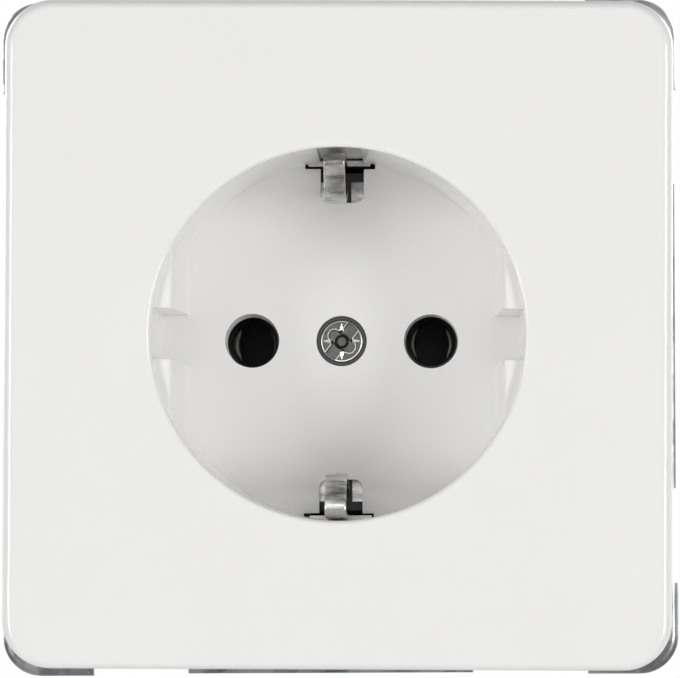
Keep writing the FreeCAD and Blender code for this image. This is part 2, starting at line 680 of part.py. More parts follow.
def make_frame():
    """Galvanised steel frame with rims turned back to the wall and notches between them."""
    frame = body("support_frame")
    half = S.frame_side / 2
    outline = sketch(frame, "frame_outline", ZERO)
    rounded_square(outline, half, S.frame_corner)
    pad(frame, outline, S.frame_reach)

    def on_bend(edge):
        return near(edge.BoundBox.YMin, FRAME_FACE) and near(edge.BoundBox.YMax, FRAME_FACE)

    round_edges(frame, "rim_bend", S.frame_bend, on_bend)
    hollow = sketch(frame, "frame_hollow", ZERO)
    rounded_square(hollow, half - S.frame_sheet, S.frame_corner - S.frame_sheet)
    pocket(frame, hollow, -FRAME_BACK, forwards=True)
    opening = sketch(frame, "frame_opening", FRAME_FACE)
    circle(opening, 0, 0, FRAME_OPENING)
    pocket(frame, opening, S.frame_reach)

    # Each side has a middle rim between two notches; the one at the lower right starts nearer in.
    outside = half + PAST
    notches = sketch(frame, "notches", FRAME_FACE)
    for side in BOTH:
        inner = (half - S.notch_depth) * side
        outer = outside * side
        for way in BOTH:
            odd = side < 0 < way
            start = S.notch_odd if odd else S.notch_near
            rectangle(notches, start * way, S.notch_far * way, inner, outer)
            rectangle(notches, inner, outer, S.notch_near * way, S.notch_far * way)
    pocket(frame, notches, S.frame_reach)
    steps = sketch(frame, "rim_steps", FRAME_FACE)
    reach = (S.notch_near + S.notch_far) / 2
    for side in BOTH:
        inner = (half - S.strip_step) * side
        rectangle(steps, -reach, reach, inner, outside * side)
        rectangle(steps, inner, outside * side, -reach, reach)
    pocket(frame, steps, S.frame_reach)

    holes = sketch(frame, "frame_holes", FRAME_FACE)
    for side in BOTH:
        circle(holes, 0, S.box_spacing / 2 * side, S.box_hole)
        circle(holes, CLAW_SCREW * side, 0, S.claw_screw_radius + S.screw_play)
        for way in BOTH:
            circle(holes, EAR * side, EAR * way, S.rivet_radius + S.thread_play)
    pocket(frame, holes, S.frame_reach)


def make_base():
    """Black base: cup round the recess, front plate with the pin entries, and the terminal block."""
    base = body("base_body")
    cup = sketch(base, "cup", BASE_BACK)
    clipped_circle(cup, BASE_RADIUS, CUP_FLAT)
    pad(base, cup, BASE_BACK - FRAME_BACK)
    rear = sketch(base, "block", BASE_END)
    clipped_circle(rear, BASE_RADIUS, BLOCK_FLAT)
    pad(base, rear, BASE_END - BASE_FRONT)
    ears = sketch(base, "ears", FRAME_BACK + S.ear_length)
    for side in BOTH:
        for way in BOTH:
            circle(ears, EAR * side, EAR * way, S.ear_radius)
    pad(base, ears, S.ear_length)
    lips = sketch(base, "claw_lips", S.claw_depth - S.claw_sheet / 2 - S.claw_lip_gap)
    for side in BOTH:
        inner = (CUP_FLAT - S.sheet_play) * side
        outer = (CLAW_SCREW - S.claw_screw_radius - S.screw_play) * side
        rectangle(lips, inner, outer, -S.claw_width / 2, S.claw_width / 2)
    pad(base, lips, S.claw_lip)

    room = sketch(base, "cup_room", FRAME_BACK)
    circle(room, 0, 0, CUP)
    pocket(base, room, BASE_FRONT - FRAME_BACK)
    boss = sketch(base, "boss_room", BASE_FRONT)
    circle(boss, 0, 0, S.boss_radius + S.base_gap)
    pocket(base, boss, BOSS_BACK + S.sheet_play - BASE_FRONT)
    entries = sketch(base, "pin_entries", BASE_FRONT)
    for side in BOTH:
        circle(entries, PIN * side, 0, ENTRY_MOUTH)
    pocket(base, entries, S.base_plate, taper=slope_angle(S.entry_throat - ENTRY_MOUTH, S.base_plate))
    hole = sketch(base, "base_screw_hole", BASE_FRONT)
    circle(hole, 0, 0, S.screw_radius + S.screw_play)
    pocket(base, hole, S.base_plate)
    legs = sketch(base, "leg_slots", BASE_FRONT)
    for side in BOTH:
        near_side = (CLIP_LEG - S.strap_bend) * side
        far_side = (CLIP_LEG + S.clip_sheet / 2 + S.sheet_play) * side
        half = S.clip_shoulder / 2 + S.strap_offset + S.sheet_play
        rectangle(legs, -half, half, near_side, far_side)
    pocket(base, legs, S.base_plate)

    # Spaces for the metal, open to the back.
    floor = -(RAIL + S.contact_sheet / 2 + S.rail_room)
    back_room = BASE_END - BASE_BACK
    contacts = sketch(base, "contact_pockets", BASE_BACK)
    for side in BOTH:
        rectangle(contacts, S.pocket_near * side, S.pocket_far * side, floor, S.pocket_top)
    pocket(base, contacts, back_room)
    strap = sketch(base, "strap_channel", BASE_BACK)
    rectangle(strap, -S.channel_half, S.channel_half, -CHANNEL_END, CHANNEL_END)
    pocket(base, strap, back_room)
    earth = sketch(base, "earth_room", BASE_BACK)
    earth_top = EARTH_RAIL + S.contact_sheet / 2 + S.rail_room
    rectangle(earth, -S.earth_chamber, S.earth_chamber, CHAMBER_NEAR, earth_top)
    pocket(base, earth, back_room)

    fixings = sketch(base, "rear_screw_holes", BASE_END)
    for side in BOTH:
        circle(fixings, S.rear_screw_x * side, REAR_SCREW_UP, S.rear_screw_radius + S.thread_play)
    pocket(base, fixings, S.rear_screw_length - S.rear_skin + S.rear_screw_room, forwards=True)
    rivets = sketch(base, "rivet_holes", FRAME_BACK)
    for side in BOTH:
        for way in BOTH:
            circle(rivets, EAR * side, EAR * way, S.rivet_radius + S.thread_play)
    pocket(base, rivets, S.ear_length)


def make_rear_cover():
    """Rear cover with the wire entries and the guides of the release buttons."""
    rear = body("rear_cover")
    outline = sketch(rear, "rear_outline", REAR)
    clipped_circle(outline, BASE_RADIUS, BLOCK_FLAT)
    pad(rear, outline, S.rear_skin)

    def on_back(edge):
        return near(edge.BoundBox.YMin, REAR) and near(edge.BoundBox.YMax, REAR)

    round_edges(rear, "rear_edge", S.rear_bevel, on_back, bevel=True)
    wires = sketch(rear, "wire_entries", BASE_END)
    guides = sketch(rear, "button_guides", BASE_END)
    for terminal in TERMINALS:
        for side in BOTH:
            circle(wires, terminal.middle + S.wire_spacing / 2 * side, terminal.wire, S.wire_radius)
        half = S.button_width / 2 + S.button_play
        rise = S.button_high / 2 + S.button_play
        rectangle(guides, terminal.middle - half, terminal.middle + half,
                  terminal.button - rise, terminal.button + rise)
    pocket(rear, wires, S.rear_skin)
    pocket(rear, guides, S.rear_skin)
    fixings = sketch(rear, "rear_cover_holes", BASE_END)
    for side in BOTH:
        circle(fixings, S.rear_screw_x * side, REAR_SCREW_UP, S.rear_screw_radius + S.screw_play)
    pocket(rear, fixings, S.rear_skin)


class Terminal:
    """Places of one screwless terminal: its rail, wires, spring and release button."""

    def __init__(self, name, middle, rail, outwards):
        inner_face = rail - S.contact_sheet / 2 * outwards
        self.name = name
        self.middle = middle
        self.rail = rail
        self.outwards = outwards
        self.inner_face = inner_face
        self.wire = inner_face - S.wire_place * outwards
        self.button = inner_face - S.button_place * outwards


TERMINALS = (
    Terminal("live", -POCKET_MID, -RAIL, -1),
    Terminal("neutral", POCKET_MID, -RAIL, -1),
    Terminal("earth", ZERO, EARTH_RAIL, 1),
)


def make_contact(terminal):
    """Bronze contact: split sleeve for the pin, joined to the rail that the wires are clamped to."""
    pin = PIN if terminal.middle.value > 0 else -PIN
    start = BASE_BACK + S.sheet_play
    outer = S.entry_throat + S.sleeve_wall
    sleeve = rod(outer, start, S.sleeve_length, pin)
    foot_depth = start + S.sleeve_wall + S.contact_sheet
    neck = -(S.entry_throat + S.sleeve_wall / 2)
    strip = bent_strip(((neck, foot_depth), (terminal.rail, foot_depth), (terminal.rail, RAIL_END)),
                       (S.contact_sheet,), S.contact_sheet, S.terminal_width, terminal.middle)
    shape = sleeve.fuse(strip)
    shape = shape.cut(rod(S.entry_throat, start - PAST, S.sleeve_length + PAST * 2, pin))
    slit = S.sleeve_slit / 2
    shape = shape.cut(block(pin - slit, pin + slit, start - PAST, start + S.sleeve_length + PAST,
                            0, outer + PAST))
    solid(terminal.name + "_contact", shape.removeSplitter())


def make_earth_rail(terminal):
    """Earth rail: bent plate that lies on the strap and reaches back beside the wires."""
    depth = RAIL_FACE + S.contact_sheet / 2 - S.sheet_play
    start = CHAMBER_NEAR + S.metal_gap
    shape = bent_strip(((start, depth), (terminal.rail, depth), (terminal.rail, RAIL_END)),
                       (S.contact_sheet,), S.contact_sheet, S.terminal_width, terminal.middle)
    solid("earth_rail", shape)


def make_clamp_spring(terminal):
    """Clamping spring: a fixed leg, a bend near the back and a free leg that slants to the rail."""
    out = terminal.outwards
    front = STRAP_BACK + S.contact_sheet + S.sleeve_wall + S.spring_gap
    pressed = BASE_END - S.button_play - S.button_flange - S.button_travel
    bend = pressed - S.button_stop - S.spring_sheet / 2
    turn = (bend - front) * S.spring_turn
    fixed = terminal.button - (S.button_high / 2 + turn * S.spring_lean) * out
    tip = terminal.inner_face - S.spring_sheet * out
    corners = ((fixed, front), (fixed, bend), (tip, front + turn))
    shape = bent_strip(corners, (turn,), S.spring_sheet, S.terminal_width, terminal.middle)
    solid(terminal.name + "_clamp_spring", shape)


def make_button(terminal):
    """Release button: a stem through the rear cover with a flange that keeps it in."""
    half = S.button_width / 2
    rise = S.button_high / 2
    flange_back = BASE_END - S.button_play
    flange_front = flange_back - S.button_flange
    stem = block(terminal.middle - half, terminal.middle + half, flange_front, REAR + S.button_proud,
                 terminal.button - rise, terminal.button + rise)
    half = half + S.button_flange
    rise = rise + S.button_flange
    flange = block(terminal.middle - half, terminal.middle + half, flange_front, flange_back,
                   terminal.button - rise, terminal.button + rise)
    solid(terminal.name + "_release", stem.fuse(flange).removeSplitter())


def make_earth_strap():
    """Nickel-plated strap behind the floor, with shoulders and a sprung clip at each end."""
    strap_depth = BASE_BACK + S.sheet_play + S.clip_sheet / 2
    shoulder = WING_TOP + S.shoulder_gap
    bend = S.strap_bend
    shape = bent_strip(((-CLIP_LEG, shoulder), (-CLIP_LEG, strap_depth),
                        (CLIP_LEG, strap_depth), (CLIP_LEG, shoulder)),
                       (bend, bend), S.clip_sheet, S.clip_shoulder, -S.strap_offset)
    fold = FRONT + S.clip_fold
    fold_back = CLIP_LEG - S.clip_fold_radius * 2
    apex = CLIP_LEG - S.apex_inset + S.clip_sheet / 2
    apex_depth = FRONT + S.clip_apex_depth
    tail = CLIP_LEG - S.tail_inset
    tail_depth = FLOOR_BACK - S.tail_gap
    outer_bend = S.clip_fold_radius - S.sheet_play / 2
    for side in BOTH:
        corners = ((CLIP_LEG * side, shoulder + S.clip_sheet), (CLIP_LEG * side, fold),
                   (fold_back * side, fold), (apex * side, apex_depth), (tail * side, tail_depth))
        shape = shape.fuse(bent_strip(corners, (outer_bend, S.fold_inner, S.clip_apex_radius),
                                      S.clip_sheet, S.clip_width, -S.clip_offset))
    shape = shape.cut(rod(S.screw_radius + S.screw_play, strap_depth - PAST, PAST * 2))
    solid("earth_strap", shape.removeSplitter())


def make_centre_screw():
    """Centre screw with slot and cross, and the square nut it turns in."""
    seat = WELL
    nut_front = STRAP_BACK + S.sheet_play
    length = nut_front + S.nut_thick + S.screw_past_nut - seat
    solid("centre_screw", slotted_screw(S.screw_radius, length, S.screw_head, S.screw_head_high,
                                        seat, 0, 0, SLOT_AND_CROSS))
    half = S.nut_side / 2
    nut = block(-half, half, nut_front, nut_front + S.nut_thick, -half, half)
    nut = nut.cut(rod(S.screw_radius + S.thread_play, nut_front - PAST, S.nut_thick + PAST * 2))
    solid("centre_nut", nut)


def make_rivets():
    """Four rivets that hold the base's ears to the frame."""
    ends = FRAME_BACK + S.ear_length
    shapes = []
    for side in BOTH:
        for way in BOTH:
            place = (EAR * side, EAR * way)
            shape = rod(S.rivet_radius, FRAME_FACE, ends - FRAME_FACE, *place)
            shape = shape.fuse(rod(S.rivet_head, FRAME_FACE - S.rivet_head_high, S.rivet_head_high, *place))
            shape = shape.fuse(rod(S.rivet_head, ends, S.rivet_head_high, *place))
            shapes.append(shape.removeSplitter())
    solid("frame_rivets", Part.makeCompound(shapes))


def make_rear_screws():
    """Two screws that hold the rear cover to the base, with their heads at the back."""
    shapes = []
    for side in BOTH:
        shape = slotted_screw(S.rear_screw_radius, S.rear_screw_length, S.rear_screw_head,
                              S.rear_head_high, 0, 0, 0)
        shape.rotate(FreeCAD.Vector(0, 0, 0), FreeCAD.Vector(0, 0, 1), 180)
        shape.translate(FreeCAD.Vector(float(S.rear_screw_x * side), float(REAR), float(REAR_SCREW_UP)))
        shapes.append(shape)
    solid("rear_screws", Part.makeCompound(shapes))


def make_claw(name, side):
    """Spreading claw: a foot on the claw screw and an arm with teeth at its end."""
    foot = S.claw_depth
    inner = CLAW_PIVOT - S.claw_sheet / 2
    tip = CLAW_ARM + S.claw_sheet / 2
    corners = ((inner * side, foot), (CLAW_ARM * side, foot),
               (CLAW_ARM * side, S.claw_end - S.claw_tooth * 2), (tip * side, S.claw_end))
    bend = S.claw_sheet
    shape = bent_strip(corners, (bend, bend), S.claw_sheet, S.claw_width, plane="XY")
    hole = rod(S.claw_screw_radius + S.claw_play, foot - PAST, PAST * 2, CLAW_SCREW * side)
    shape = shape.cut(hole)
    pitch = S.claw_width.value / (CLAW_GAPS + 1)
    outer = (CLAW_ARM + S.claw_sheet + PAST) * side
    for count in range(1, CLAW_GAPS + 1):
        middle = -S.claw_width.value / 2 + count * pitch
        tooth = pitch * S.tooth_share.value / 2
        back = S.claw_end.value + PAST
        root_depth = (S.claw_end - S.claw_tooth).value
        wedge = Part.makePolygon([FreeCAD.Vector(0, root_depth, middle),
                                  FreeCAD.Vector(0, back, middle - tooth * 2),
                                  FreeCAD.Vector(0, back, middle + tooth * 2),
                                  FreeCAD.Vector(0, root_depth, middle)])
        shape = shape.cut(Part.Face(wedge).extrude(FreeCAD.Vector(outer.value, 0, 0)))
    solid(name + "_claw", shape)
    screw = slotted_screw(S.claw_screw_radius, S.claw_screw_length, S.claw_head, S.claw_head_high,
                          FRAME_FACE, CLAW_SCREW * side, 0)
    solid(name + "_claw_screw", screw)


make_cover()
make_frame()
make_base()
make_rear_cover()
make_earth_strap()
make_centre_screw()
make_rivets()
make_rear_screws()
for terminal in TERMINALS:
    if terminal.name == "earth":
        make_earth_rail(terminal)
    else:
        make_contact(terminal)
    make_clamp_spring(terminal)
    make_button(terminal)
for name, side in (("left", -1), ("right", 1)):
    make_claw(name, side)

doc.recompute()
failed = [item.Name for item in doc.Objects if "Invalid" in item.State or "Error" in item.State]
if failed:
    raise RuntimeError(f"failed objects: {failed}")
for item in SUB_PARTS:
    if item.Shape.isNull() or not item.Shape.isValid() or not item.Shape.Solids:
        raise RuntimeError(f"bad shape: {item.Label}")

os.makedirs("parts", exist_ok=True)
for item in SUB_PARTS:
    item.Shape.exportStep(f"parts/{item.Label}.step")
    print(item.Label, len(item.Shape.Solids), round(item.Shape.Volume, 2))
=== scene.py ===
"""Looks of a flush earthed wall socket: its finishes, formed metal and screws, and a studio.

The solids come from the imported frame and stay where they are. Metres throughout, X to the
right, Z up and Y into the wall, so the front looks along -Y.
"""
import logging
import math
from dataclasses import dataclass
from enum import Enum

import bmesh
import bpy
from mathutils import Matrix, Vector


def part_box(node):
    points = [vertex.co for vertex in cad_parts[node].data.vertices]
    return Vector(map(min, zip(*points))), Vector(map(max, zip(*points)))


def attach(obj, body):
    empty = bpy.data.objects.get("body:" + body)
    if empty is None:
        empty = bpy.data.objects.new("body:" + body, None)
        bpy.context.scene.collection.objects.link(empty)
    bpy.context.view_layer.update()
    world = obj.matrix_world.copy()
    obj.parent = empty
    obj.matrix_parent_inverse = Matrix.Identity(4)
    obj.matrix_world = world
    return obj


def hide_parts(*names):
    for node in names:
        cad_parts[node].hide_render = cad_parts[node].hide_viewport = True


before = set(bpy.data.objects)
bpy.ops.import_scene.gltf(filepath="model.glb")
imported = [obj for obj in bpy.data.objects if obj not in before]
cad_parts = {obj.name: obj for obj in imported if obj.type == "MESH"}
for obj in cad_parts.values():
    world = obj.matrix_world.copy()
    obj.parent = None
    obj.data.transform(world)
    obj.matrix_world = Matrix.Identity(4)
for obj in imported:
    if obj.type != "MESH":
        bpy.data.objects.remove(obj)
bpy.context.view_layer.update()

LOG = logging.getLogger("wall_socket")
MM = 0.001
WELD = 0.002 * MM  # points of a piece that lie closer than this become one
SEAM = 0.0005 * MM  # the same where a turned shape closes
SHARP = math.radians(32.0)  # edges that fold by more than this stay sharp
Colour = tuple[float, float, float]
Point = tuple[float, float, float]
Span = tuple[float, float]
NOISE: Span = (0.3, 0.7)  # nearly all of a cloudy noise lies between these


class Body(Enum):
    """The moving bodies that a new piece may ride on."""

    SOCKET = "socket"
    LEFT_DRIVE = "left_claw_drive"
    RIGHT_DRIVE = "right_claw_drive"


class Graph:
    """A material's nodes, with short calls that add and join them."""

    def __init__(self, name: str) -> None:
        """Starts a material of that name.

        Args:
            name: the material's name.
        """
        self.material = bpy.data.materials.new(name)
        self.material.use_nodes = True
        self.nodes = self.material.node_tree.nodes
        self.links = self.material.node_tree.links
        self.shader = self.nodes["Principled BSDF"]

    def put(self, target: bpy.types.NodeSocket, value: object) -> None:
        """Joins an output to a socket, or sets the socket's own value.

        Args:
            target: the input socket.
            value: an output socket, a number or a colour.
        """
        if isinstance(value, bpy.types.NodeSocket):
            self.links.new(value, target)
        elif isinstance(value, tuple) and len(value) == 3 and target.type == "RGBA":
            target.default_value = (*value, 1.0)
        else:
            target.default_value = value

    def place(self, stretch: Point = (1.0, 1.0, 1.0),
              centre: Vector | None = None) -> bpy.types.NodeSocket:
        """Object coordinates, stretched about a centre.

        Args:
            stretch: scale along each axis.
            centre: the point that becomes zero.

        Returns:
            The coordinates' output.
        """
        source = self.nodes.new("ShaderNodeTexCoord").outputs["Object"]
        mapping = self.nodes.new("ShaderNodeMapping")
        zero = centre or Vector()
        self.put(mapping.inputs["Vector"], source)
        self.put(mapping.inputs["Location"], tuple(-a * b for a, b in zip(zero, stretch)))
        self.put(mapping.inputs["Scale"], stretch)
        return mapping.outputs["Vector"]

    def noise(self, where: bpy.types.NodeSocket, scale: float, detail: float = 3.0,
              rough: float = 0.5) -> bpy.types.NodeSocket:
        """Cloudy noise.

        Args:
            where: coordinates.
            scale: cells per metre.
            detail: octaves.
            rough: weight of the fine octaves.

        Returns:
            The value's output.
        """
        node = self.nodes.new("ShaderNodeTexNoise")
        self.put(node.inputs["Vector"], where)
        self.put(node.inputs["Scale"], scale)
        self.put(node.inputs["Detail"], detail)
        self.put(node.inputs["Roughness"], rough)
        return node.outputs["Fac"]

    def crystals(self, where: bpy.types.NodeSocket, scale: float) -> bpy.types.NodeSocket:
        """Flat cells with a random level each, as zinc spangle has.

        Args:
            where: coordinates.
            scale: cells per metre.

        Returns:
            The level's output.
        """
        node = self.nodes.new("ShaderNodeTexVoronoi")
        self.put(node.inputs["Vector"], where)
        self.put(node.inputs["Scale"], scale)
        split = self.nodes.new("ShaderNodeSeparateColor")
        self.put(split.inputs["Color"], node.outputs["Color"])
        return split.outputs["Red"]

    def rings(self, where: bpy.types.NodeSocket, scale: float) -> bpy.types.NodeSocket:
        """Turning marks round the Y axis.

        Args:
            where: coordinates from the axis.
            scale: rings per metre, roughly.

        Returns:
            The value's output.
        """
        node = self.nodes.new("ShaderNodeTexWave")
        node.wave_type = "RINGS"
        node.rings_direction = "Y"
        self.put(node.inputs["Vector"], where)
        self.put(node.inputs["Scale"], scale)
        self.put(node.inputs["Distortion"], 0.6)
        return node.outputs["Fac"]

    def spread(self, value: bpy.types.NodeSocket, low: float, high: float,
               start: float = 0.0, end: float = 1.0) -> bpy.types.NodeSocket:
        """A value mapped from start..end to low..high.

        Args:
            value: the value's output.
            low: result at start.
            high: result at end.
            start: lower end of the value.
            end: upper end of the value.

        Returns:
            The mapped value's output.
        """
        node = self.nodes.new("ShaderNodeMapRange")
        for name, number in (("Value", value), ("From Min", start), ("From Max", end),
                             ("To Min", low), ("To Max", high)):
            self.put(node.inputs[name], number)
        return node.outputs["Result"]

    def vary(self, value: bpy.types.NodeSocket, level: float, shares: Span,
             ends: Span = (0.0, 1.0)) -> bpy.types.NodeSocket:
        """A level that a noise takes down and up.

        Args:
            value: the noise's output.
            level: the level.
            shares: what multiplies the level at the noise's ends.
            ends: the noise's ends.

        Returns:
            The varied level's output.
        """
        return self.spread(value, level * shares[0], level * shares[1], *ends)

    def sum(self, first: object, second: object) -> bpy.types.NodeSocket:
        """Two values added.

        Args:
            first: a value or output.
            second: a value or output.

        Returns:
            The sum's output.
        """
        node = self.nodes.new("ShaderNodeMath")
        node.operation = "ADD"
        self.put(node.inputs[0], first)
        self.put(node.inputs[1], second)
        return node.outputs["Value"]

    def blend(self, share: object, first: Colour, second: Colour) -> bpy.types.NodeSocket:
        """Two colours mixed.

        Args:
            share: share of the second colour.
            first: colour at 0.
            second: colour at 1.

        Returns:
            The colour's output.
        """
        node = self.nodes.new("ShaderNodeMix")
        node.data_type = "RGBA"
        self.put(node.inputs["Factor"], share)
        # The node has sockets A, B and Result for each data type; these are the colour ones.
        self.put(node.inputs[6], first)
        self.put(node.inputs[7], second)
        return node.outputs[2]

    def tint(self, value: bpy.types.NodeSocket, ends: Span, first: Colour,
             second: Colour) -> bpy.types.NodeSocket:
        """Two colours mixed by a noise.

        Args:
            value: the noise's output.
            ends: where the noise gives the first colour alone, and the second.
            first: the first colour.
            second: the second colour.

        Returns:
            The colour's output.
        """
        return self.blend(self.spread(value, 0.0, 1.0, *ends), first, second)

    def bump(self, height: bpy.types.NodeSocket, depth: float,
             under: bpy.types.NodeSocket | None = None) -> bpy.types.NodeSocket:
        """A relief of a real depth.

        Args:
            height: the height's output, 0 to 1.
            depth: depth in metres.
            under: a coarser relief below this one.

        Returns:
            The normal's output.
        """
        node = self.nodes.new("ShaderNodeBump")
        self.put(node.inputs["Height"], height)
        self.put(node.inputs["Distance"], depth)
        if under is not None:
            self.put(node.inputs["Normal"], under)
        return node.outputs["Normal"]

    def finish(self, colour: object, metallic: float, rough: object,
               normal: bpy.types.NodeSocket) -> bpy.types.Material:
        """Joins colour, roughness and relief to the shader.

        Args:
            colour: a colour or output.
            metallic: 0 or 1.
            rough: a number or output.
            normal: the relief.

        Returns:
            The material.
        """
        for name, value in (("Base Color", colour), ("Metallic", metallic),
                            ("Roughness", rough), ("Normal", normal)):
            self.put(self.shader.inputs[name], value)
        return self.material


# In every finish a noise is given in cells per metre. Its _stretch scales its coordinates, its
# _depth is the height of its relief in metres, its _ends are the values that are told apart,
# its _shares multiply the roughness, and its _rough is added to it.
@dataclass(frozen=True)
class GlossMoulding:
    """A polished moulding: faint orange peel, a trace of flow marks and fine handling marks."""

    name: str
    colour: Colour
    shade: Colour
    rough: float = 0.16
    peel: float = 420.0
    peel_depth: float = 0.0006 * MM
    cloud: float = 60.0
    cloud_shares: Span = (0.85, 1.15)
    flow: float = 700.0
    flow_stretch: Point = (0.25, 1.0, 1.6)
    flow_rough: Span = (-0.015, 0.02)

    def build(self) -> bpy.types.Material:
        """Returns the material."""
        graph = Graph(self.name)
        where = graph.place()
        cloud = graph.noise(where, self.cloud, detail=4.0)
        peel = graph.noise(where, self.peel, detail=2.0)
        flow = graph.noise(graph.place(self.flow_stretch), self.flow, rough=0.6)
        rough = graph.sum(graph.vary(cloud, self.rough, self.cloud_shares),
                          graph.spread(flow, *self.flow_rough))
        colour = graph.tint(cloud, NOISE, self.colour, self.shade)
        return graph.finish(colour, 0.0, rough, graph.bump(peel, self.peel_depth))


@dataclass(frozen=True)
class SparkedMoulding:
    """A moulding with the fine eroded texture of a technical part."""

    name: str
    colour: Colour
    shade: Colour
    rough: float = 0.5
    grain: float = 3800.0
    grain_depth: float = 0.02 * MM
    cloud: float = 110.0
    cloud_shares: Span = (0.85, 1.2)

    def build(self) -> bpy.types.Material:
        """Returns the material."""
        graph = Graph(self.name)
        where = graph.place()
        cloud = graph.noise(where, self.cloud, detail=4.0)
        grain = graph.noise(where, self.grain, detail=2.0, rough=0.6)
        rough = graph.vary(cloud, self.rough, self.cloud_shares, NOISE)
        colour = graph.tint(cloud, NOISE, self.colour, self.shade)
        return graph.finish(colour, 0.0, rough, graph.bump(grain, self.grain_depth))


@dataclass(frozen=True)
class GalvanisedSheet:
    """Zinc-coated sheet: small spangle, rolling streaks and dull patches."""

    name: str
    colour: Colour
    shade: Colour
    rough: float = 0.34
    spangle: float = 520.0
    spangle_tint: float = 0.55
    spangle_shares: Span = (0.8, 1.25)
    streak: float = 2600.0
    streak_stretch: Point = (0.08, 1.0, 1.0)
    streak_rough: Span = (-0.04, 0.05)
    streak_depth: float = 0.004 * MM
    patch: float = 240.0
    patch_tint: float = 0.6
    patch_ends: Span = (0.35, 0.7)
    patch_depth: float = 0.03 * MM

    def build(self) -> bpy.types.Material:
        """Returns the material."""
        graph = Graph(self.name)
        where = graph.place()
        spangle = graph.crystals(where, self.spangle)
        streak = graph.noise(graph.place(self.streak_stretch), self.streak, rough=0.6)
        patch = graph.noise(where, self.patch, detail=4.0, rough=0.6)
        share = graph.sum(graph.spread(spangle, 0.0, self.spangle_tint),
                          graph.spread(patch, 0.0, self.patch_tint, *self.patch_ends))
        rough = graph.sum(graph.vary(spangle, self.rough, self.spangle_shares),
                          graph.spread(streak, *self.streak_rough))
        normal = graph.bump(streak, self.streak_depth, graph.bump(patch, self.patch_depth))
        return graph.finish(graph.blend(share, self.colour, self.shade), 1.0, rough, normal)


@dataclass(frozen=True)
class DrawnStrip:
    """Rolled strip, plated or bare: fine draw lines along the strip, with light handling marks."""

    name: str
    colour: Colour
    shade: Colour
    rough: float = 0.22
    line: float = 4200.0
    line_stretch: Point = (1.0, 0.12, 0.12)
    line_rough: Span = (-0.03, 0.05)
    line_depth: float = 0.003 * MM
    stain: float = 420.0
    stain_ends: Span = (0.35, 0.7)
    stain_shares: Span = (0.75, 1.5)

    def build(self) -> bpy.types.Material:
        """Returns the material."""
        graph = Graph(self.name)
        line = graph.noise(graph.place(self.line_stretch), self.line, rough=0.65)
        stain = graph.noise(graph.place(), self.stain, detail=4.0, rough=0.6)
        rough = graph.sum(graph.vary(stain, self.rough, self.stain_shares, NOISE),
                          graph.spread(line, *self.line_rough))
        colour = graph.tint(stain, self.stain_ends, self.colour, self.shade)
        return graph.finish(colour, 1.0, rough, graph.bump(line, self.line_depth))


# The colour's bands in this finish are painted reflection, light and dark across the strip; the
# relief and press marks are real.
@dataclass(frozen=True)
class FormedStrip:
    """Plated strip after it is bent: uneven bands across the strip and small press marks."""

    name: str
    colour: Colour
    shade: Colour
    rough: float = 0.2
    band: float = 620.0
    band_stretch: Point = (0.3, 1.0, 1.0)
    # between these the band noise paints the colour from light to dark, as reflection
    band_ends: Span = (0.40, 0.62)
    band_depth: float = 0.06 * MM
    mark: float = 2600.0
    mark_shares: Span = (0.8, 1.4)

    def build(self) -> bpy.types.Material:
        """Returns the material."""
        graph = Graph(self.name)
        band = graph.noise(graph.place(self.band_stretch), self.band, rough=0.6)
        mark = graph.noise(graph.place(), self.mark, detail=2.0)
        rough = graph.vary(mark, self.rough, self.mark_shares, NOISE)
        # Painted reflection: light and dark bands in the colour, following the relief.
        colour = graph.tint(band, self.band_ends, self.colour, self.shade)
        return graph.finish(colour, 1.0, rough, graph.bump(band, self.band_depth))


@dataclass(frozen=True)
class TurnedMetal:
    """Turned and plated metal, with turning marks round an axis along Y."""

    name: str
    colour: Colour
    shade: Colour
    rough: float = 0.24
    centre: Point = (0.0, 0.0, 0.0)
    mark: float = 1500.0
    mark_depth: float = 0.002 * MM
    stain: float = 900.0
    stain_ends: Span = (0.35, 0.7)
    stain_shares: Span = (0.7, 1.5)

    def build(self) -> bpy.types.Material:
        """Returns the material."""
        graph = Graph(self.name)
        mark = graph.rings(graph.place(centre=Vector(self.centre)), self.mark)
        stain = graph.noise(graph.place(), self.stain, detail=4.0, rough=0.6)
        rough = graph.vary(stain, self.rough, self.stain_shares, NOISE)
        colour = graph.tint(stain, self.stain_ends, self.colour, self.shade)
        return graph.finish(colour, 1.0, rough, graph.bump(mark, self.mark_depth))


def middle(node: str) -> Vector:
    """Centre of a solid's box.

    Args:
        node: the solid's name.

    Returns:
        The centre.
    """
    low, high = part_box(node)
    return (low + high) / 2


def dress(nodes: tuple[str, ...], material: bpy.types.Material) -> None:
    """Gives solids a material.

    Args:
        nodes: the solids' names.
        material: their material.
    """
    for name in nodes:
        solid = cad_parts[name]
        for slot in solid.material_slots:
            slot.material = material
        LOG.info("dressed %s in %s", name, material.name)


def soften(mesh: bmesh.types.BMesh) -> None:
    """Makes a mesh smooth except at its sharp edges.

    Args:
        mesh: the shape.
    """
    for face in mesh.faces:
        face.smooth = True
    for edge in mesh.edges:
        edge.smooth = edge.calc_face_angle(0.0) < SHARP


def piece(name: str, mesh: bmesh.types.BMesh,
          material: bpy.types.Material) -> bpy.types.Object:
    """Makes an object of a mesh.

    Args:
        name: the piece's name.
        mesh: its shape, in place.
        material: its material.

    Returns:
        The object.
    """
    bmesh.ops.remove_doubles(mesh, verts=mesh.verts, dist=WELD)
    bmesh.ops.recalc_face_normals(mesh, faces=mesh.faces)
    soften(mesh)
    data = bpy.data.meshes.new(name)
    mesh.to_mesh(data)
    mesh.free()
    data.materials.append(material)
    thing = bpy.data.objects.new(name, data)
    bpy.context.scene.collection.objects.link(thing)
    return thing


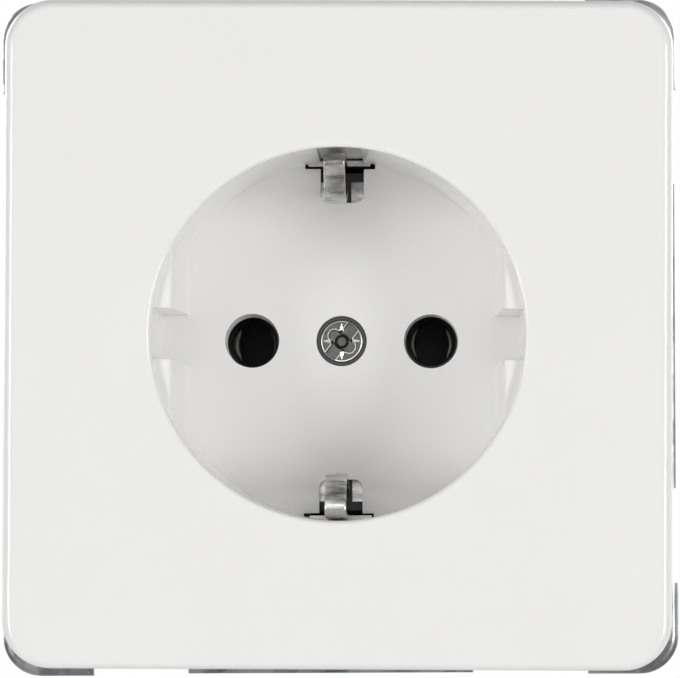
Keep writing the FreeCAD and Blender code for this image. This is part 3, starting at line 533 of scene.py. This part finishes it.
def cut(thing: bpy.types.Object, tool: bpy.types.Object) -> None:
    """Takes a tool's shape out of a piece, and the tool away.

    Args:
        thing: the piece.
        tool: a closed shape.
    """
    modifier = thing.modifiers.new("cut", "BOOLEAN")
    modifier.operation = "DIFFERENCE"
    modifier.solver = "EXACT"
    modifier.object = tool
    bpy.context.view_layer.update()
    graph = bpy.context.evaluated_depsgraph_get()
    data = bpy.data.meshes.new_from_object(thing.evaluated_get(graph))
    thing.modifiers.clear()
    mesh = bmesh.new()
    mesh.from_mesh(data)
    soften(mesh)
    mesh.to_mesh(data)
    mesh.free()
    thing.data = data
    bpy.data.objects.remove(tool)


def turned(profile: list[Span], centre: Vector, steps: int = 64) -> bmesh.types.BMesh:
    """A closed shape turned round an axis along Y.

    Args:
        profile: radius and place along Y of each point, in metres, front to back.
        centre: a point on the axis, whose Y is added.
        steps: faces round.

    Returns:
        The shape.
    """
    mesh = bmesh.new()
    points = [mesh.verts.new((centre.x + radius, centre.y + along, centre.z))
              for radius, along in profile]
    edges = [mesh.edges.new(pair) for pair in zip(points, points[1:])]
    bmesh.ops.spin(mesh, geom=points + edges, cent=centre, axis=(0.0, 1.0, 0.0),
                   angle=math.tau, steps=steps, use_merge=True)
    bmesh.ops.remove_doubles(mesh, verts=mesh.verts, dist=SEAM)
    return mesh


def bar(size: Vector, centre: Vector, turn: float) -> bmesh.types.BMesh:
    """A block turned about Y.

    Args:
        size: its sides.
        centre: its middle.
        turn: its turn about Y.

    Returns:
        The shape.
    """
    mesh = bmesh.new()
    place = Matrix.Translation(centre) @ Matrix.Rotation(turn, 4, "Y")
    bmesh.ops.create_cube(mesh, size=1.0, matrix=place @ Matrix.Diagonal((*size, 1.0)))
    return mesh


def soft_step(value: float, low: float, high: float) -> float:
    """A soft step from 0 to 1.

    Args:
        value: where.
        low: start of the step.
        high: end of the step, which may lie below the start.

    Returns:
        The share.
    """
    share = min(1.0, max(0.0, (value - low) / (high - low)))
    return share * share * (3.0 - 2.0 * share)


class Trace:
    """A sheet's centreline in the YZ plane, drawn step by step as it is bent."""

    def __init__(self, along: float, up: float, heading: float) -> None:
        """Starts the line.

        Args:
            along: its start along Y.
            up: its start along Z.
            heading: its direction in degrees, from Y towards Z.
        """
        self.spot = Vector((along, up))
        self.heading = math.radians(heading)
        self.points: list[tuple[Vector, float]] = [(self.spot.copy(), self.heading)]

    def ahead(self, length: float, steps: int = 1) -> None:
        """Goes straight on.

        Args:
            length: the length.
            steps: pieces of the line.
        """
        for _ in range(steps):
            self.spot += Vector((math.cos(self.heading), math.sin(self.heading))) * (length / steps)
            self.points.append((self.spot.copy(), self.heading))

    def bend(self, radius: float, angle: float, steps: int) -> None:
        """Bends to the left, or to the right for an angle below zero.

        Args:
            radius: centreline radius.
            angle: turn in degrees.
            steps: pieces of the arc.
        """
        turn = math.radians(angle) / steps
        chord = 2 * radius * abs(math.sin(turn / 2))
        for _ in range(steps):
            midway = self.heading + turn / 2
            self.spot += Vector((math.cos(midway), math.sin(midway))) * chord
            self.heading += turn
            self.points.append((self.spot.copy(), self.heading))

    def sweep(self, section: list[Span], centre: float, side: float) -> bmesh.types.BMesh:
        """A closed strip with the same section all along the line.

        Args:
            section: points of the section, across and towards the outer side.
            centre: the strip's middle along X.
            side: 1 for the upper strip, -1 for its mirror image below.

        Returns:
            The shape.
        """
        mesh = bmesh.new()
        rows = []
        for spot, heading in self.points:
            outer = Vector((math.sin(heading), -math.cos(heading)))
            row = []
            for across, out in section:
                place = spot + outer * out
                row.append(mesh.verts.new((centre + across, place.x, place.y * side)))
            rows.append(row)
        count = len(section)
        for first, second in zip(rows, rows[1:]):
            for step in range(count):
                following = (step + 1) % count
                mesh.faces.new((first[step], first[following], second[following], second[step]))
        mesh.faces.new(rows[0])
        mesh.faces.new(rows[-1])
        return mesh


@dataclass
class EarthStrap:
    """The earth strap as it is formed, with crowned leaves, and the metal seen beside them.

    The strap runs from one shoulder round the back to the other. Each leaf goes on from a
    shoulder to the front, folds back and curves. The tabs are thin and deep in the clip slots.
    """

    sheet: float = 0.6 * MM
    leg: float = 18.85 * MM
    shoulder: float = 6.6 * MM
    front: float = -6.6 * MM
    strap: float = 6.6 * MM
    strap_place: float = -0.15 * MM
    strap_soft: float = 0.06 * MM
    strap_corner: float = 0.9 * MM
    # faces deeper than this get painted shade, a dark strip colour
    shaded_from: float = 7.5 * MM
    leaf: float = 2.25 * MM
    leaf_place: float = -0.375 * MM
    leaf_soft: float = 0.16 * MM
    crown: float = 0.035 * MM
    fold: float = 0.75 * MM
    fold_angle: float = 131.0
    curve: float = 8.9 * MM
    curve_angle: float = 60.2
    tail: float = 6.7 * MM
    tabs: tuple[tuple[str, float, float], ...] = (
        ("left", -4.1 * MM, -1.75 * MM), ("right", 1.05 * MM, 4.1 * MM))
    tab_sheet: float = 0.06 * MM
    tab_high: float = 3.2 * MM
    tab_deep: float = 9.255 * MM
    tab_level: float = 15.4 * MM

    def section(self, width: float, soft: float, crown: float) -> list[Span]:
        """A strip's section, rounded and crowned on its outer side.

        Args:
            width: its width.
            soft: its rounding.
            crown: how far its middle stands out.

        Returns:
            The section's points.
        """
        half, thick = width / 2, self.sheet / 2
        edge = [(-half, -thick), (-half, thick - soft)]
        for step in range(1, 5):
            turn = math.radians(90.0 * step / 4)
            edge.append((-half + soft * (1 - math.cos(turn)), thick - soft * (1 - math.sin(turn))))
        top = [((half - soft) * share, thick + crown * (1 - share * share))
               for share in (-0.6, -0.2, 0.2, 0.6)]
        return edge + top + [(-across, out) for across, out in reversed(edge)]

    def formed(self, finish: bpy.types.Material, deep: bpy.types.Material) -> bpy.types.Object:
        """The strap from one shoulder round the back to the other.

        Args:
            finish: its material.
            deep: painted shade, a dark strip colour for the faces that lie deep behind the slots.

        Returns:
            The strap.
        """
        _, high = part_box("earth_strap")
        run = high.y - self.sheet / 2 - self.shoulder - self.strap_corner
        line = Trace(self.shoulder, self.leg, 0.0)
        line.ahead(run)
        line.bend(self.strap_corner, -90.0, steps=8)
        line.ahead((self.leg - self.strap_corner) * 2, steps=4)
        line.bend(self.strap_corner, -90.0, steps=8)
        line.ahead(run)
        section = self.section(self.strap, self.strap_soft, 0.0)
        mesh = line.sweep(section, self.strap_place, 1.0)
        for face in mesh.faces:
            # Painted shade: faces deeper than shaded_from take the dark second material.
            face.material_index = int(face.calc_center_median().y > self.shaded_from)
        strap = piece("earth_strap_formed", mesh, finish)
        strap.data.materials.append(deep)
        return strap

    def sprung(self, side: float) -> bmesh.types.BMesh:
        """One leaf, which folds at the front and curves back into the recess.

        Args:
            side: 1 for the upper leaf, -1 for the lower one.

        Returns:
            The shape.
        """
        line = Trace(self.shoulder, self.leg, 180.0)
        line.ahead(self.shoulder - self.front - self.fold, steps=4)
        line.bend(self.fold, self.fold_angle, steps=18)
        line.bend(self.curve, self.curve_angle, steps=48)
        line.ahead(self.tail, steps=8)
        section = self.section(self.leaf, self.leaf_soft, self.crown)
        return line.sweep(section, self.leaf_place, side)

    def build(self, finish: bpy.types.Material, painted_band_finish: bpy.types.Material,
              deep: bpy.types.Material) -> None:
        """Makes the strap in place of the plain solid, with its leaves and the tabs.

        Args:
            finish: the strap's material.
            painted_band_finish: the material of the leaves and tabs, painted light and dark in
                bands as reflection.
            deep: painted shade, the strap's dark material deep behind the slots.
        """
        parts = [self.formed(finish, deep)]
        for word, side in (("lower", -1.0), ("upper", 1.0)):
            parts.append(piece(f"{word}_earth_leaf", self.sprung(side), painted_band_finish))
            for hand, start, end in self.tabs:
                size = Vector((end - start, self.tab_sheet, self.tab_high))
                place = Vector(((start + end) / 2, self.tab_deep, side * self.tab_level))
                parts.append(piece(f"{word}_rail_tab_{hand}", bar(size, place, 0.0), painted_band_finish))
        for part in parts:
            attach(part, Body.SOCKET.value)
            LOG.info("built %s", part.name)
        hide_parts("earth_strap")


@dataclass
class PinEntry:
    """What is seen inside a pin hole: a flat pale ring, and the two sprung leaves of the contact.

    The ring lies off the hole's centre by its drift, to the right and upwards. Both leaves
    have their waist to the right of the centre by their lean.
    """

    name: str
    across: float
    drift: Span
    lean: float
    ring_inner: float = 2.77 * MM
    ring_outer: float = 3.1 * MM
    ring_front: float = 9.225 * MM
    ring_back: float = 9.285 * MM
    leaf: float = 0.22 * MM
    bore: float = 2.44 * MM
    mouth: float = 2.43 * MM
    waist: float = 1.80 * MM
    half_angle: float = 60.0
    around: int = 16
    # Radius and place along Y of a leaf's inner face, from front to back, in millimetres.
    profile: tuple[Span, ...] = (
        (2.43, 14.0), (2.42, 14.9), (2.36, 15.25), (2.20, 15.42), (2.06, 15.46),
        (1.90, 15.5), (1.80, 15.62), (1.80, 16.2), (1.95, 18.2), (2.10, 19.6))

    def build(self, pale: bpy.types.Material, metal: bpy.types.Material) -> None:
        """Makes the pieces.

        Args:
            pale: the ring's material.
            metal: the contact's material.
        """
        centre = Vector((self.across, 0.0, 0.0))
        inner, outer = self.ring_inner, self.ring_outer
        front, back = self.ring_front, self.ring_back
        rings = [(outer, front), (inner, front), (inner, back), (outer, back), (outer, front)]
        place = centre + Vector((self.drift[0], 0.0, self.drift[1]))
        lining = piece(self.name + "_pin_lining", turned(rings, place, steps=72), pale)
        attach(lining, Body.SOCKET.value)
        LOG.info("built %s", lining.name)
        for word, side in (("left", -1.0), ("right", 1.0)):
            leaf = piece(f"{self.name}_contact_{word}_leaf", self.sprung(centre, side), metal)
            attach(leaf, Body.SOCKET.value)
            LOG.info("built %s", leaf.name)

    def sprung(self, centre: Vector, side: float) -> bmesh.types.BMesh:
        """One curved leaf with a flared mouth and a waist.

        Args:
            centre: a point on the contact's axis.
            side: -1 for the left leaf, 1 for the right one.

        Returns:
            The shape.
        """
        mesh = bmesh.new()
        layers = []
        for thick in (0.0, self.leaf):
            grid = []
            for radius, along in self.profile:
                pinch = (self.mouth - radius * MM) / (self.mouth - self.waist)
                waist = radius * MM + side * self.lean * pinch
                row = []
                for step in range(self.around + 1):
                    share = 2.0 * step / self.around - 1.0
                    turn = math.radians(self.half_angle * share)
                    reach = min(waist + (self.mouth - waist) * abs(share) ** 3 + thick, self.bore)
                    row.append(mesh.verts.new((centre.x + side * reach * math.cos(turn), along * MM,
                                               centre.z + reach * math.sin(turn))))
                grid.append(row)
            layers.append(grid)
        for grid in layers:
            for first, second in zip(grid, grid[1:]):
                for step in range(self.around):
                    mesh.faces.new((first[step], first[step + 1], second[step + 1], second[step]))
        rims = [[grid[0] for grid in layers], [grid[-1] for grid in layers],
                [[row[0] for row in grid] for grid in layers],
                [[row[-1] for row in grid] for grid in layers]]
        for inner, outer in rims:
            for step in range(len(inner) - 1):
                mesh.faces.new((inner[step], inner[step + 1], outer[step + 1], outer[step]))
        return mesh


@dataclass
class CentreScrew:
    """The combination screw in the recess floor: slot, cross recess with rounded arms, four ticks.

    Its front is a surface of rings, each point of which lies as deep as the recess is there.
    The flat face is sunk a little behind the front, the recess has sloping walls, and a bright
    outline runs round it. The outline, rim and ticks are painted highlight, a pale metal colour.
    """

    head: float = 2.22 * MM
    head_high: float = 1.8 * MM
    rim: float = 0.16 * MM
    # The rim's rounding: share of the rim's width inside the edge, and depth behind the front.
    rim_curve: tuple[Span, ...] = ((0.6, 0.01 * MM), (0.25, 0.035 * MM))
    sunk: float = 0.03 * MM
    shank: float = 1.5 * MM
    end_long: float = 0.4 * MM
    end_wide: float = 0.35 * MM
    slot: float = 0.58 * MM
    slot_deep: float = 0.6 * MM
    arm: float = 0.56 * MM
    arm_reach: float = 0.98 * MM
    arm_deep: float = 0.72 * MM
    bowl: float = 1.08 * MM
    bowl_deep: float = 0.35 * MM
    tip: float = 0.46 * MM
    tip_deep: float = 1.05 * MM
    wall: float = 0.08 * MM
    # width of the painted highlight round the recess
    outline: float = 0.085 * MM
    tick: float = 0.25 * MM
    tick_start: float = 1.12 * MM
    tick_end: float = 1.98 * MM
    tick_slope: float = 0.42
    turn: float = 52.0
    around: int = 360
    across: int = 96
    ring_gap: float = 0.03 * MM
    ring_outer: float = 2.65 * MM
    ring_lift: float = 0.12 * MM
    ring_seat: float = 0.02 * MM
    ring_soft: float = 0.08 * MM

    def build(self, finish: bpy.types.Material, bright: bpy.types.Material,
              dark: bpy.types.Material) -> None:
        """Makes the screw in place of the plain solid, and a dark ring round its head.

        Args:
            finish: its material.
            bright: painted highlight, a pale metal colour for its ticks, rim and recess outline.
            dark: the ring's material.
        """
        low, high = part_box("centre_screw")
        length = high.y - low.y
        centre = Vector((0.0, low.y, 0.0))
        inner = self.head - self.rim
        rings: list[tuple[float, float | None]] = [(inner * (row + 1) / self.across, None)
                                                   for row in range(self.across)]
        rings += [(self.head - self.rim * share, along) for share, along in self.rim_curve]
        rings += [(self.head, self.rim), (self.head, self.head_high - self.rim),
                  (self.head - self.rim, self.head_high), (self.shank, self.head_high),
                  (self.shank, length - self.end_long), (self.shank - self.end_wide, length)]
        mesh = bmesh.new()
        first = mesh.verts.new(centre + Vector((0.0, self.depth(0.0, 0.0), 0.0)))
        before: list[bmesh.types.BMVert] = []
        for radius, along in rings:
            row = [self.spot(mesh, centre, radius, along, count) for count in range(self.around)]
            for count in range(self.around):
                after = (count + 1) % self.around
                if before:
                    face = mesh.faces.new((before[count], before[after], row[after], row[count]))
                    # Painted highlight: ticks, the recess outline and the rim take the pale metal
                    # colour.
                    highlighted = self.painted_highlight(face, centre) if along is None else radius > inner
                    face.material_index = int(highlighted)
                else:
                    mesh.faces.new((first, row[after], row[count]))
            before = row
        mesh.faces.new(before)
        screw = piece("centre_screw_head", mesh, finish)
        screw.data.materials.append(bright)
        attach(screw, Body.SOCKET.value)
        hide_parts("centre_screw")
        LOG.info("built %s", screw.name)
        self.ring(centre, dark)

    def spot(self, mesh: bmesh.types.BMesh, centre: Vector, radius: float, along: float | None,
             count: int) -> bmesh.types.BMVert:
        """One point of a ring.

        Args:
            mesh: the shape.
            centre: middle of the head's front.
            radius: the ring's radius.
            along: its place behind the front, or None where the recess gives it.
            count: the point's number in the ring.

        Returns:
            The point.
        """
        turn = math.tau * count / self.around
        x, z = radius * math.cos(turn), radius * math.sin(turn)
        deep = self.depth(x, z) if along is None else along
        return mesh.verts.new(centre + Vector((x, deep, z)))

    def gaps(self, x: float, z: float) -> tuple[float, float, float]:
        """How far a point lies outside the slot, the arms and the bowl of the recess.

        Args:
            x: place to the right.
            z: place upwards.

        Returns:
            The three distances, below zero inside.
        """
        turn = math.radians(self.turn)
        along = x * math.cos(turn) + z * math.sin(turn)
        over = abs(z * math.cos(turn) - x * math.sin(turn))
        beyond = max(0.0, over - self.arm_reach)
        return over - self.slot, math.hypot(along, beyond) - self.arm, math.hypot(x, z) - self.bowl

    def depth(self, x: float, z: float) -> float:
        """How far the head's surface lies behind its front.

        Args:
            x: place to the right.
            z: place upwards.

        Returns:
            The depth.
        """
        gaps = self.gaps(x, z)
        slot, arm, bowl = (soft_step(gap, self.wall, 0.0) for gap in gaps)
        share = min(1.0, max(0.0, -gaps[2] / (self.bowl - self.tip)))
        floor = self.bowl_deep + (self.tip_deep - self.bowl_deep) * share
        recess = max(self.slot_deep * slot, self.arm_deep * arm, floor * bowl)
        return self.sunk + recess - self.ridge(x, z)

    def ridge(self, x: float, z: float) -> float:
        """Height of the four ticks, which taper outwards.

        Args:
            x: place to the right.
            z: place upwards.

        Returns:
            The height.
        """
        reach, over = max(abs(x), abs(z)), min(abs(x), abs(z))
        if not self.tick_start < reach < self.tick_end:
            return 0.0
        half = self.tick * (self.tick_end - reach) / (self.tick_end - self.tick_start)
        return max(0.0, half - over) * self.tick_slope

    def painted_highlight(self, face: bmesh.types.BMFace, centre: Vector) -> bool:
        """Tells whether a face gets the painted highlight: part of a tick or of the recess outline.

        Args:
            face: the face.
            centre: middle of the head's front.

        Returns:
            Whether it is.
        """
        place = face.calc_center_median() - centre
        gap = min(self.gaps(place.x, place.z)) - self.wall
        return self.ridge(place.x, place.z) > 0.0 or 0.0 < gap < self.outline

    def ring(self, centre: Vector, dark: bpy.types.Material) -> None:
        """Makes a dark ring round the head.

        Args:
            centre: middle of the head's front.
            dark: its material.
        """
        inner, outer, soft = self.head + self.ring_gap, self.ring_outer, self.ring_soft
        seat, front = self.head_high - self.ring_seat, -self.ring_lift
        profile = [(inner, seat), (inner, front + soft), (inner + soft, front),
                   (outer - soft, front), (outer, front + soft), (outer, seat), (inner, seat)]
        ring = piece("screw_dark_ring", turned(profile, centre), dark)
        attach(ring, Body.SOCKET.value)
        LOG.info("built %s", ring.name)


@dataclass
class ClawScrew:
    """A slotted drive screw with its rolled thread.

    The shank has a plain neck under the head, then rows of points, so many to a pitch, that
    are moved to the thread's flanks as far as the thread's end.
    """

    node: str
    body: Body
    head: float = 3.1 * MM
    head_high: float = 1.8 * MM
    # The head's front: share of its radius, and depth behind the box's front.
    dome: tuple[Span, ...] = ((0.0, 0.0), (0.6, 0.06 * MM), (0.88, 0.35 * MM), (1.0, 0.77 * MM))
    slot: float = 0.8 * MM
    slot_deep: float = 0.9 * MM
    slot_turn: float = 20.0
    radius: float = 1.7 * MM
    tip_share: float = 0.8
    thread: float = 0.22 * MM
    pitch: float = 0.6 * MM
    rows: int = 6
    neck: float = 0.2 * MM
    rows_end: float = 0.5 * MM
    thread_end: float = 0.3 * MM
    around: int = 36

    def build(self, finish: bpy.types.Material) -> None:
        """Makes the screw in place of the plain solid.

        Args:
            finish: its material.
        """
        low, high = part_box(self.node)
        centre = Vector(((low.x + high.x) / 2, low.y, 0.0))
        length = high.y - low.y
        rings = [(self.head * share, along) for share, along in self.dome]
        rings += [(self.head, self.head_high), (self.radius, self.head_high)]
        start = self.head_high + self.neck
        rows = int((length - start - self.rows_end) / self.pitch * self.rows)
        rings += [(self.radius, start + row * self.pitch / self.rows) for row in range(rows + 1)]
        rings += [(self.radius * self.tip_share, length), (0.0, length)]
        mesh = turned(rings, centre, self.around)
        for vertex in mesh.verts:
            self.roll(vertex, centre, start, length)
        screw = piece(self.node + "_threaded", mesh, finish)
        size = Vector((self.head * 3, self.slot_deep * 2, self.slot))
        cut(screw, piece("tool", bar(size, centre, math.radians(self.slot_turn)), finish))
        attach(screw, self.body.value)
        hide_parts(self.node)
        LOG.info("built %s", screw.name)

    def roll(self, vertex: bmesh.types.BMVert, centre: Vector, start: float, length: float) -> None:
        """Moves a point to the thread's flank if it lies on the threaded length.

        Args:
            vertex: the point.
            centre: middle of the head's front.
            start: where the thread starts behind it.
            length: the screw's length.
        """
        arm = vertex.co - centre
        along = arm.y
        arm.y = 0.0
        if start < along < length - self.thread_end:
            phase = (along / self.pitch + math.atan2(arm.z, arm.x) / math.tau) % 1.0
            depth = self.thread * abs(2.0 * phase - 1.0)
            vertex.co -= arm.normalized() * depth


class Finishes:
    """Every finish of the socket, built once."""

    def __init__(self) -> None:
        """Builds the shared finishes."""
        gloss, sparked, strip = GlossMoulding, SparkedMoulding, DrawnStrip
        self.white = gloss("white_moulding", (0.905, 0.90, 0.89), (0.895, 0.89, 0.88)).build()
        self.black = sparked("black_moulding", (0.012,) * 3, (0.02,) * 3, 0.38).build()
        self.grey = sparked("grey_moulding", (0.035, 0.036, 0.038), (0.045, 0.046, 0.048)).build()
        # A dark colour for the ring round the centre screw's head.
        self.ring = sparked("dark_ring_finish", (0.055, 0.055, 0.054), (0.065, 0.065, 0.064)).build()
        self.zinc = GalvanisedSheet("zinc_steel", (0.44, 0.445, 0.45), (0.15, 0.155, 0.16)).build()
        self.nickel = strip("nickel_strip", (0.50, 0.49, 0.47), (0.36, 0.35, 0.33)).build()
        self.bronze = strip("contact_bronze", (0.30, 0.27, 0.23), (0.20, 0.18, 0.15), 0.28).build()
        self.contact = strip("contact_plating", (0.22, 0.22, 0.215), (0.17, 0.17, 0.165),
                             0.34).build()
        # Painted highlight: a pale metal colour for the centre screw's ticks, rim and recess
        # outline.
        self.painted_highlight = strip("painted_highlight_edges", (0.80, 0.80, 0.79), (0.72, 0.72, 0.71), 0.18).build()
        self.lining = gloss("lining_moulding", (0.46, 0.455, 0.45), (0.43, 0.425, 0.42),
                            0.3).build()
        # Painted reflection: the leaves' colour runs in light and dark bands across the strip.
        self.painted_band_finish = FormedStrip("formed_nickel", (0.74, 0.73, 0.71), (0.24, 0.235, 0.23)).build()
        # Painted shade: a dark strip colour for the strap where it lies deep behind the slots.
        self.deep = strip("shaded_strip", (0.13, 0.127, 0.122), (0.08, 0.078, 0.075), 0.4).build()
        self.spring = strip("spring_steel", (0.45, 0.45, 0.46), (0.34, 0.34, 0.35), 0.26).build()
        self.button = gloss("button_plastic", (0.60, 0.16, 0.03), (0.52, 0.13, 0.025), 0.3).build()

    def turned(self, node: str, colour: Colour = (0.46, 0.46, 0.45),
               shade: Colour = (0.36, 0.36, 0.35), rough: float = 0.24) -> bpy.types.Material:
        """A turned finish centred on one solid.

        Args:
            node: the solid.
            colour: its colour.
            shade: its darker shade.
            rough: its roughness.

        Returns:
            The material.
        """
        return TurnedMetal(node + "_turned", colour, shade, rough, tuple(middle(node))).build()


@dataclass
class SocketFront:
    """The moulded cover, the centre screw, the sprung earth clips and the pin entries."""

    pins: tuple[PinEntry, ...] = (
        PinEntry("live", -9.5 * MM, (0.1 * MM, -0.11 * MM), 0.25 * MM),
        PinEntry("neutral", 9.5 * MM, (0.02 * MM, -0.13 * MM), -0.08 * MM),
    )

    def build(self, finishes: Finishes) -> None:
        """Dresses the front.

        Args:
            finishes: the finishes.
        """
        dress(("cover_plate",), finishes.white)
        dress(("earth_rail",), finishes.nickel)
        EarthStrap().build(finishes.nickel, finishes.painted_band_finish, finishes.deep)
        brass = finishes.turned("centre_nut", (0.60, 0.45, 0.18), (0.48, 0.34, 0.12))
        dress(("centre_nut",), brass)
        screw = finishes.turned("centre_screw", (0.17, 0.17, 0.167), (0.12, 0.12, 0.118), 0.2)
        CentreScrew().build(screw, finishes.painted_highlight, finishes.ring)
        for pin in self.pins:
            pin.build(finishes.lining, finishes.contact)


class SocketCarrier:
    """The pressed frame with its rivets, claws and their drive screws."""

    def build(self, finishes: Finishes) -> None:
        """Dresses the carrier.

        Args:
            finishes: the finishes.
        """
        dress(("support_frame", "left_claw", "right_claw"), finishes.zinc)
        dress(("frame_rivets",), finishes.turned("frame_rivets"))
        for node, body in (("left_claw_screw", Body.LEFT_DRIVE),
                           ("right_claw_screw", Body.RIGHT_DRIVE)):
            ClawScrew(node, body).build(finishes.turned(node))


class SocketBase:
    """The black base with its contacts, clamps, buttons and rear cover."""

    def build(self, finishes: Finishes) -> None:
        """Dresses the base.

        Args:
            finishes: the finishes.
        """
        dress(("base_body",), finishes.black)
        dress(("rear_cover",), finishes.grey)
        dress(("rear_screws",), finishes.turned("rear_screws"))
        dress(("live_contact", "neutral_contact"), finishes.bronze)
        dress(("live_clamp_spring", "neutral_clamp_spring", "earth_clamp_spring"), finishes.spring)
        dress(("live_release", "neutral_release", "earth_release"), finishes.button)


@dataclass
class PhotoCamera:
    """The camera at the photograph's angle."""

    place: Point = (24.18 * MM, -961.28 * MM, -44.5 * MM)
    yaw: float = -1.44
    pitch: float = 2.643
    roll: float = -0.215
    focal_pixels: float = 9127.0
    image_width: float = 680.0
    sensor: float = 36.0
    clip: Span = (0.01, 20.0)

    def build(self) -> None:
        """Makes the scene's camera."""
        yaw, pitch, roll = (math.radians(angle) for angle in (self.yaw, self.pitch, self.roll))
        ahead = Vector((math.sin(yaw) * math.cos(pitch), math.cos(yaw) * math.cos(pitch),
                        math.sin(pitch)))
        right = Vector((math.cos(yaw), -math.sin(yaw), 0.0))
        up = right.cross(ahead)
        across = right * math.cos(roll) + up * math.sin(roll)
        upward = up * math.cos(roll) - right * math.sin(roll)
        data = bpy.data.cameras.new("photo_camera")
        data.sensor_width = self.sensor
        data.lens = self.focal_pixels * self.sensor / self.image_width
        data.clip_start, data.clip_end = self.clip
        camera = bpy.data.objects.new("photo_camera", data)
        aim = Matrix((across, upward, -ahead)).transposed().to_4x4()
        camera.matrix_world = Matrix.Translation(self.place) @ aim
        bpy.context.scene.collection.objects.link(camera)
        bpy.context.scene.camera = camera


@dataclass
class Lamp:
    """One soft box, aimed at the socket's middle."""

    name: str
    place: Point
    size: Span
    watts: float

    def build(self) -> None:
        """Makes the lamp."""
        data = bpy.data.lights.new(self.name, "AREA")
        data.shape = "RECTANGLE"
        data.size, data.size_y = self.size
        data.energy = self.watts
        lamp = bpy.data.objects.new(self.name, data)
        aim = (-Vector(self.place)).to_track_quat("-Z", "Y").to_matrix().to_4x4()
        lamp.matrix_world = Matrix.Translation(self.place) @ aim
        bpy.context.scene.collection.objects.link(lamp)


@dataclass
class Studio:
    """A plain pale floor, a white background and soft lamps at each side."""

    floor_level: float = -0.30
    floor_side: float = 6.0
    fill: float = 0.18
    lamps: tuple[Lamp, ...] = (
        Lamp("left_box", (-0.8755, -0.8164, -0.084), (0.3, 0.6), 5.7),
        Lamp("right_box", (0.861, -0.8316, -0.084), (0.3, 0.6), 6.35),
        Lamp("high_box", (0.0, -1.039, 0.6), (0.6, 0.4), 1.05),
        Lamp("corner_box", (-0.548, -0.949, 0.488), (0.4, 0.4), 0.33),
        Lamp("back_left_box", (-0.8, 0.8, 0.35), (0.5, 0.6), 6.5),
        Lamp("back_right_box", (0.8, 0.8, 0.35), (0.5, 0.6), 6.5),
    )

    def build(self) -> None:
        """Makes the floor, the world and the lamps."""
        for lamp in self.lamps:
            lamp.build()
        mesh = bmesh.new()
        bmesh.ops.create_grid(mesh, x_segments=2, y_segments=2, size=self.floor_side / 2,
                              matrix=Matrix.Translation((0.0, 0.0, self.floor_level)))
        paper = SparkedMoulding("paper", (0.84, 0.84, 0.84), (0.82, 0.82, 0.82),
                                rough=0.8, grain=300.0, grain_depth=0.01 * MM).build()
        piece("floor", mesh, paper)
        self.sky()
        bpy.context.scene.view_settings.view_transform = "Standard"

    def sky(self) -> None:
        """Makes the world: white to the eye and in metal, softer as light."""
        world = bpy.data.worlds.new("studio")
        bpy.context.scene.world = world
        world.use_nodes = True
        nodes, links = world.node_tree.nodes, world.node_tree.links
        nodes.clear()
        soft, white = (nodes.new("ShaderNodeBackground") for _ in range(2))
        for ground in (soft, white):
            ground.inputs["Color"].default_value = (1.0, 1.0, 1.0, 1.0)
        soft.inputs["Strength"].default_value = self.fill
        path = nodes.new("ShaderNodeLightPath")
        mix = nodes.new("ShaderNodeMixShader")
        shown = path.outputs["Is Camera Ray"]
        for name in ("Is Glossy Ray", "Is Transmission Ray"):
            either = nodes.new("ShaderNodeMath")
            either.operation = "MAXIMUM"
            links.new(shown, either.inputs[0])
            links.new(path.outputs[name], either.inputs[1])
            shown = either.outputs["Value"]
        links.new(shown, mix.inputs[0])
        links.new(soft.outputs[0], mix.inputs[1])
        links.new(white.outputs[0], mix.inputs[2])
        links.new(mix.outputs[0], nodes.new("ShaderNodeOutputWorld").inputs["Surface"])


def main() -> None:
    """Builds the socket's looks and the studio."""
    logging.basicConfig(level=logging.INFO)
    finishes = Finishes()
    for part in (SocketFront(), SocketCarrier(), SocketBase()):
        part.build(finishes)
    PhotoCamera().build()
    Studio().build()


if __name__ == "__main__":
    main()
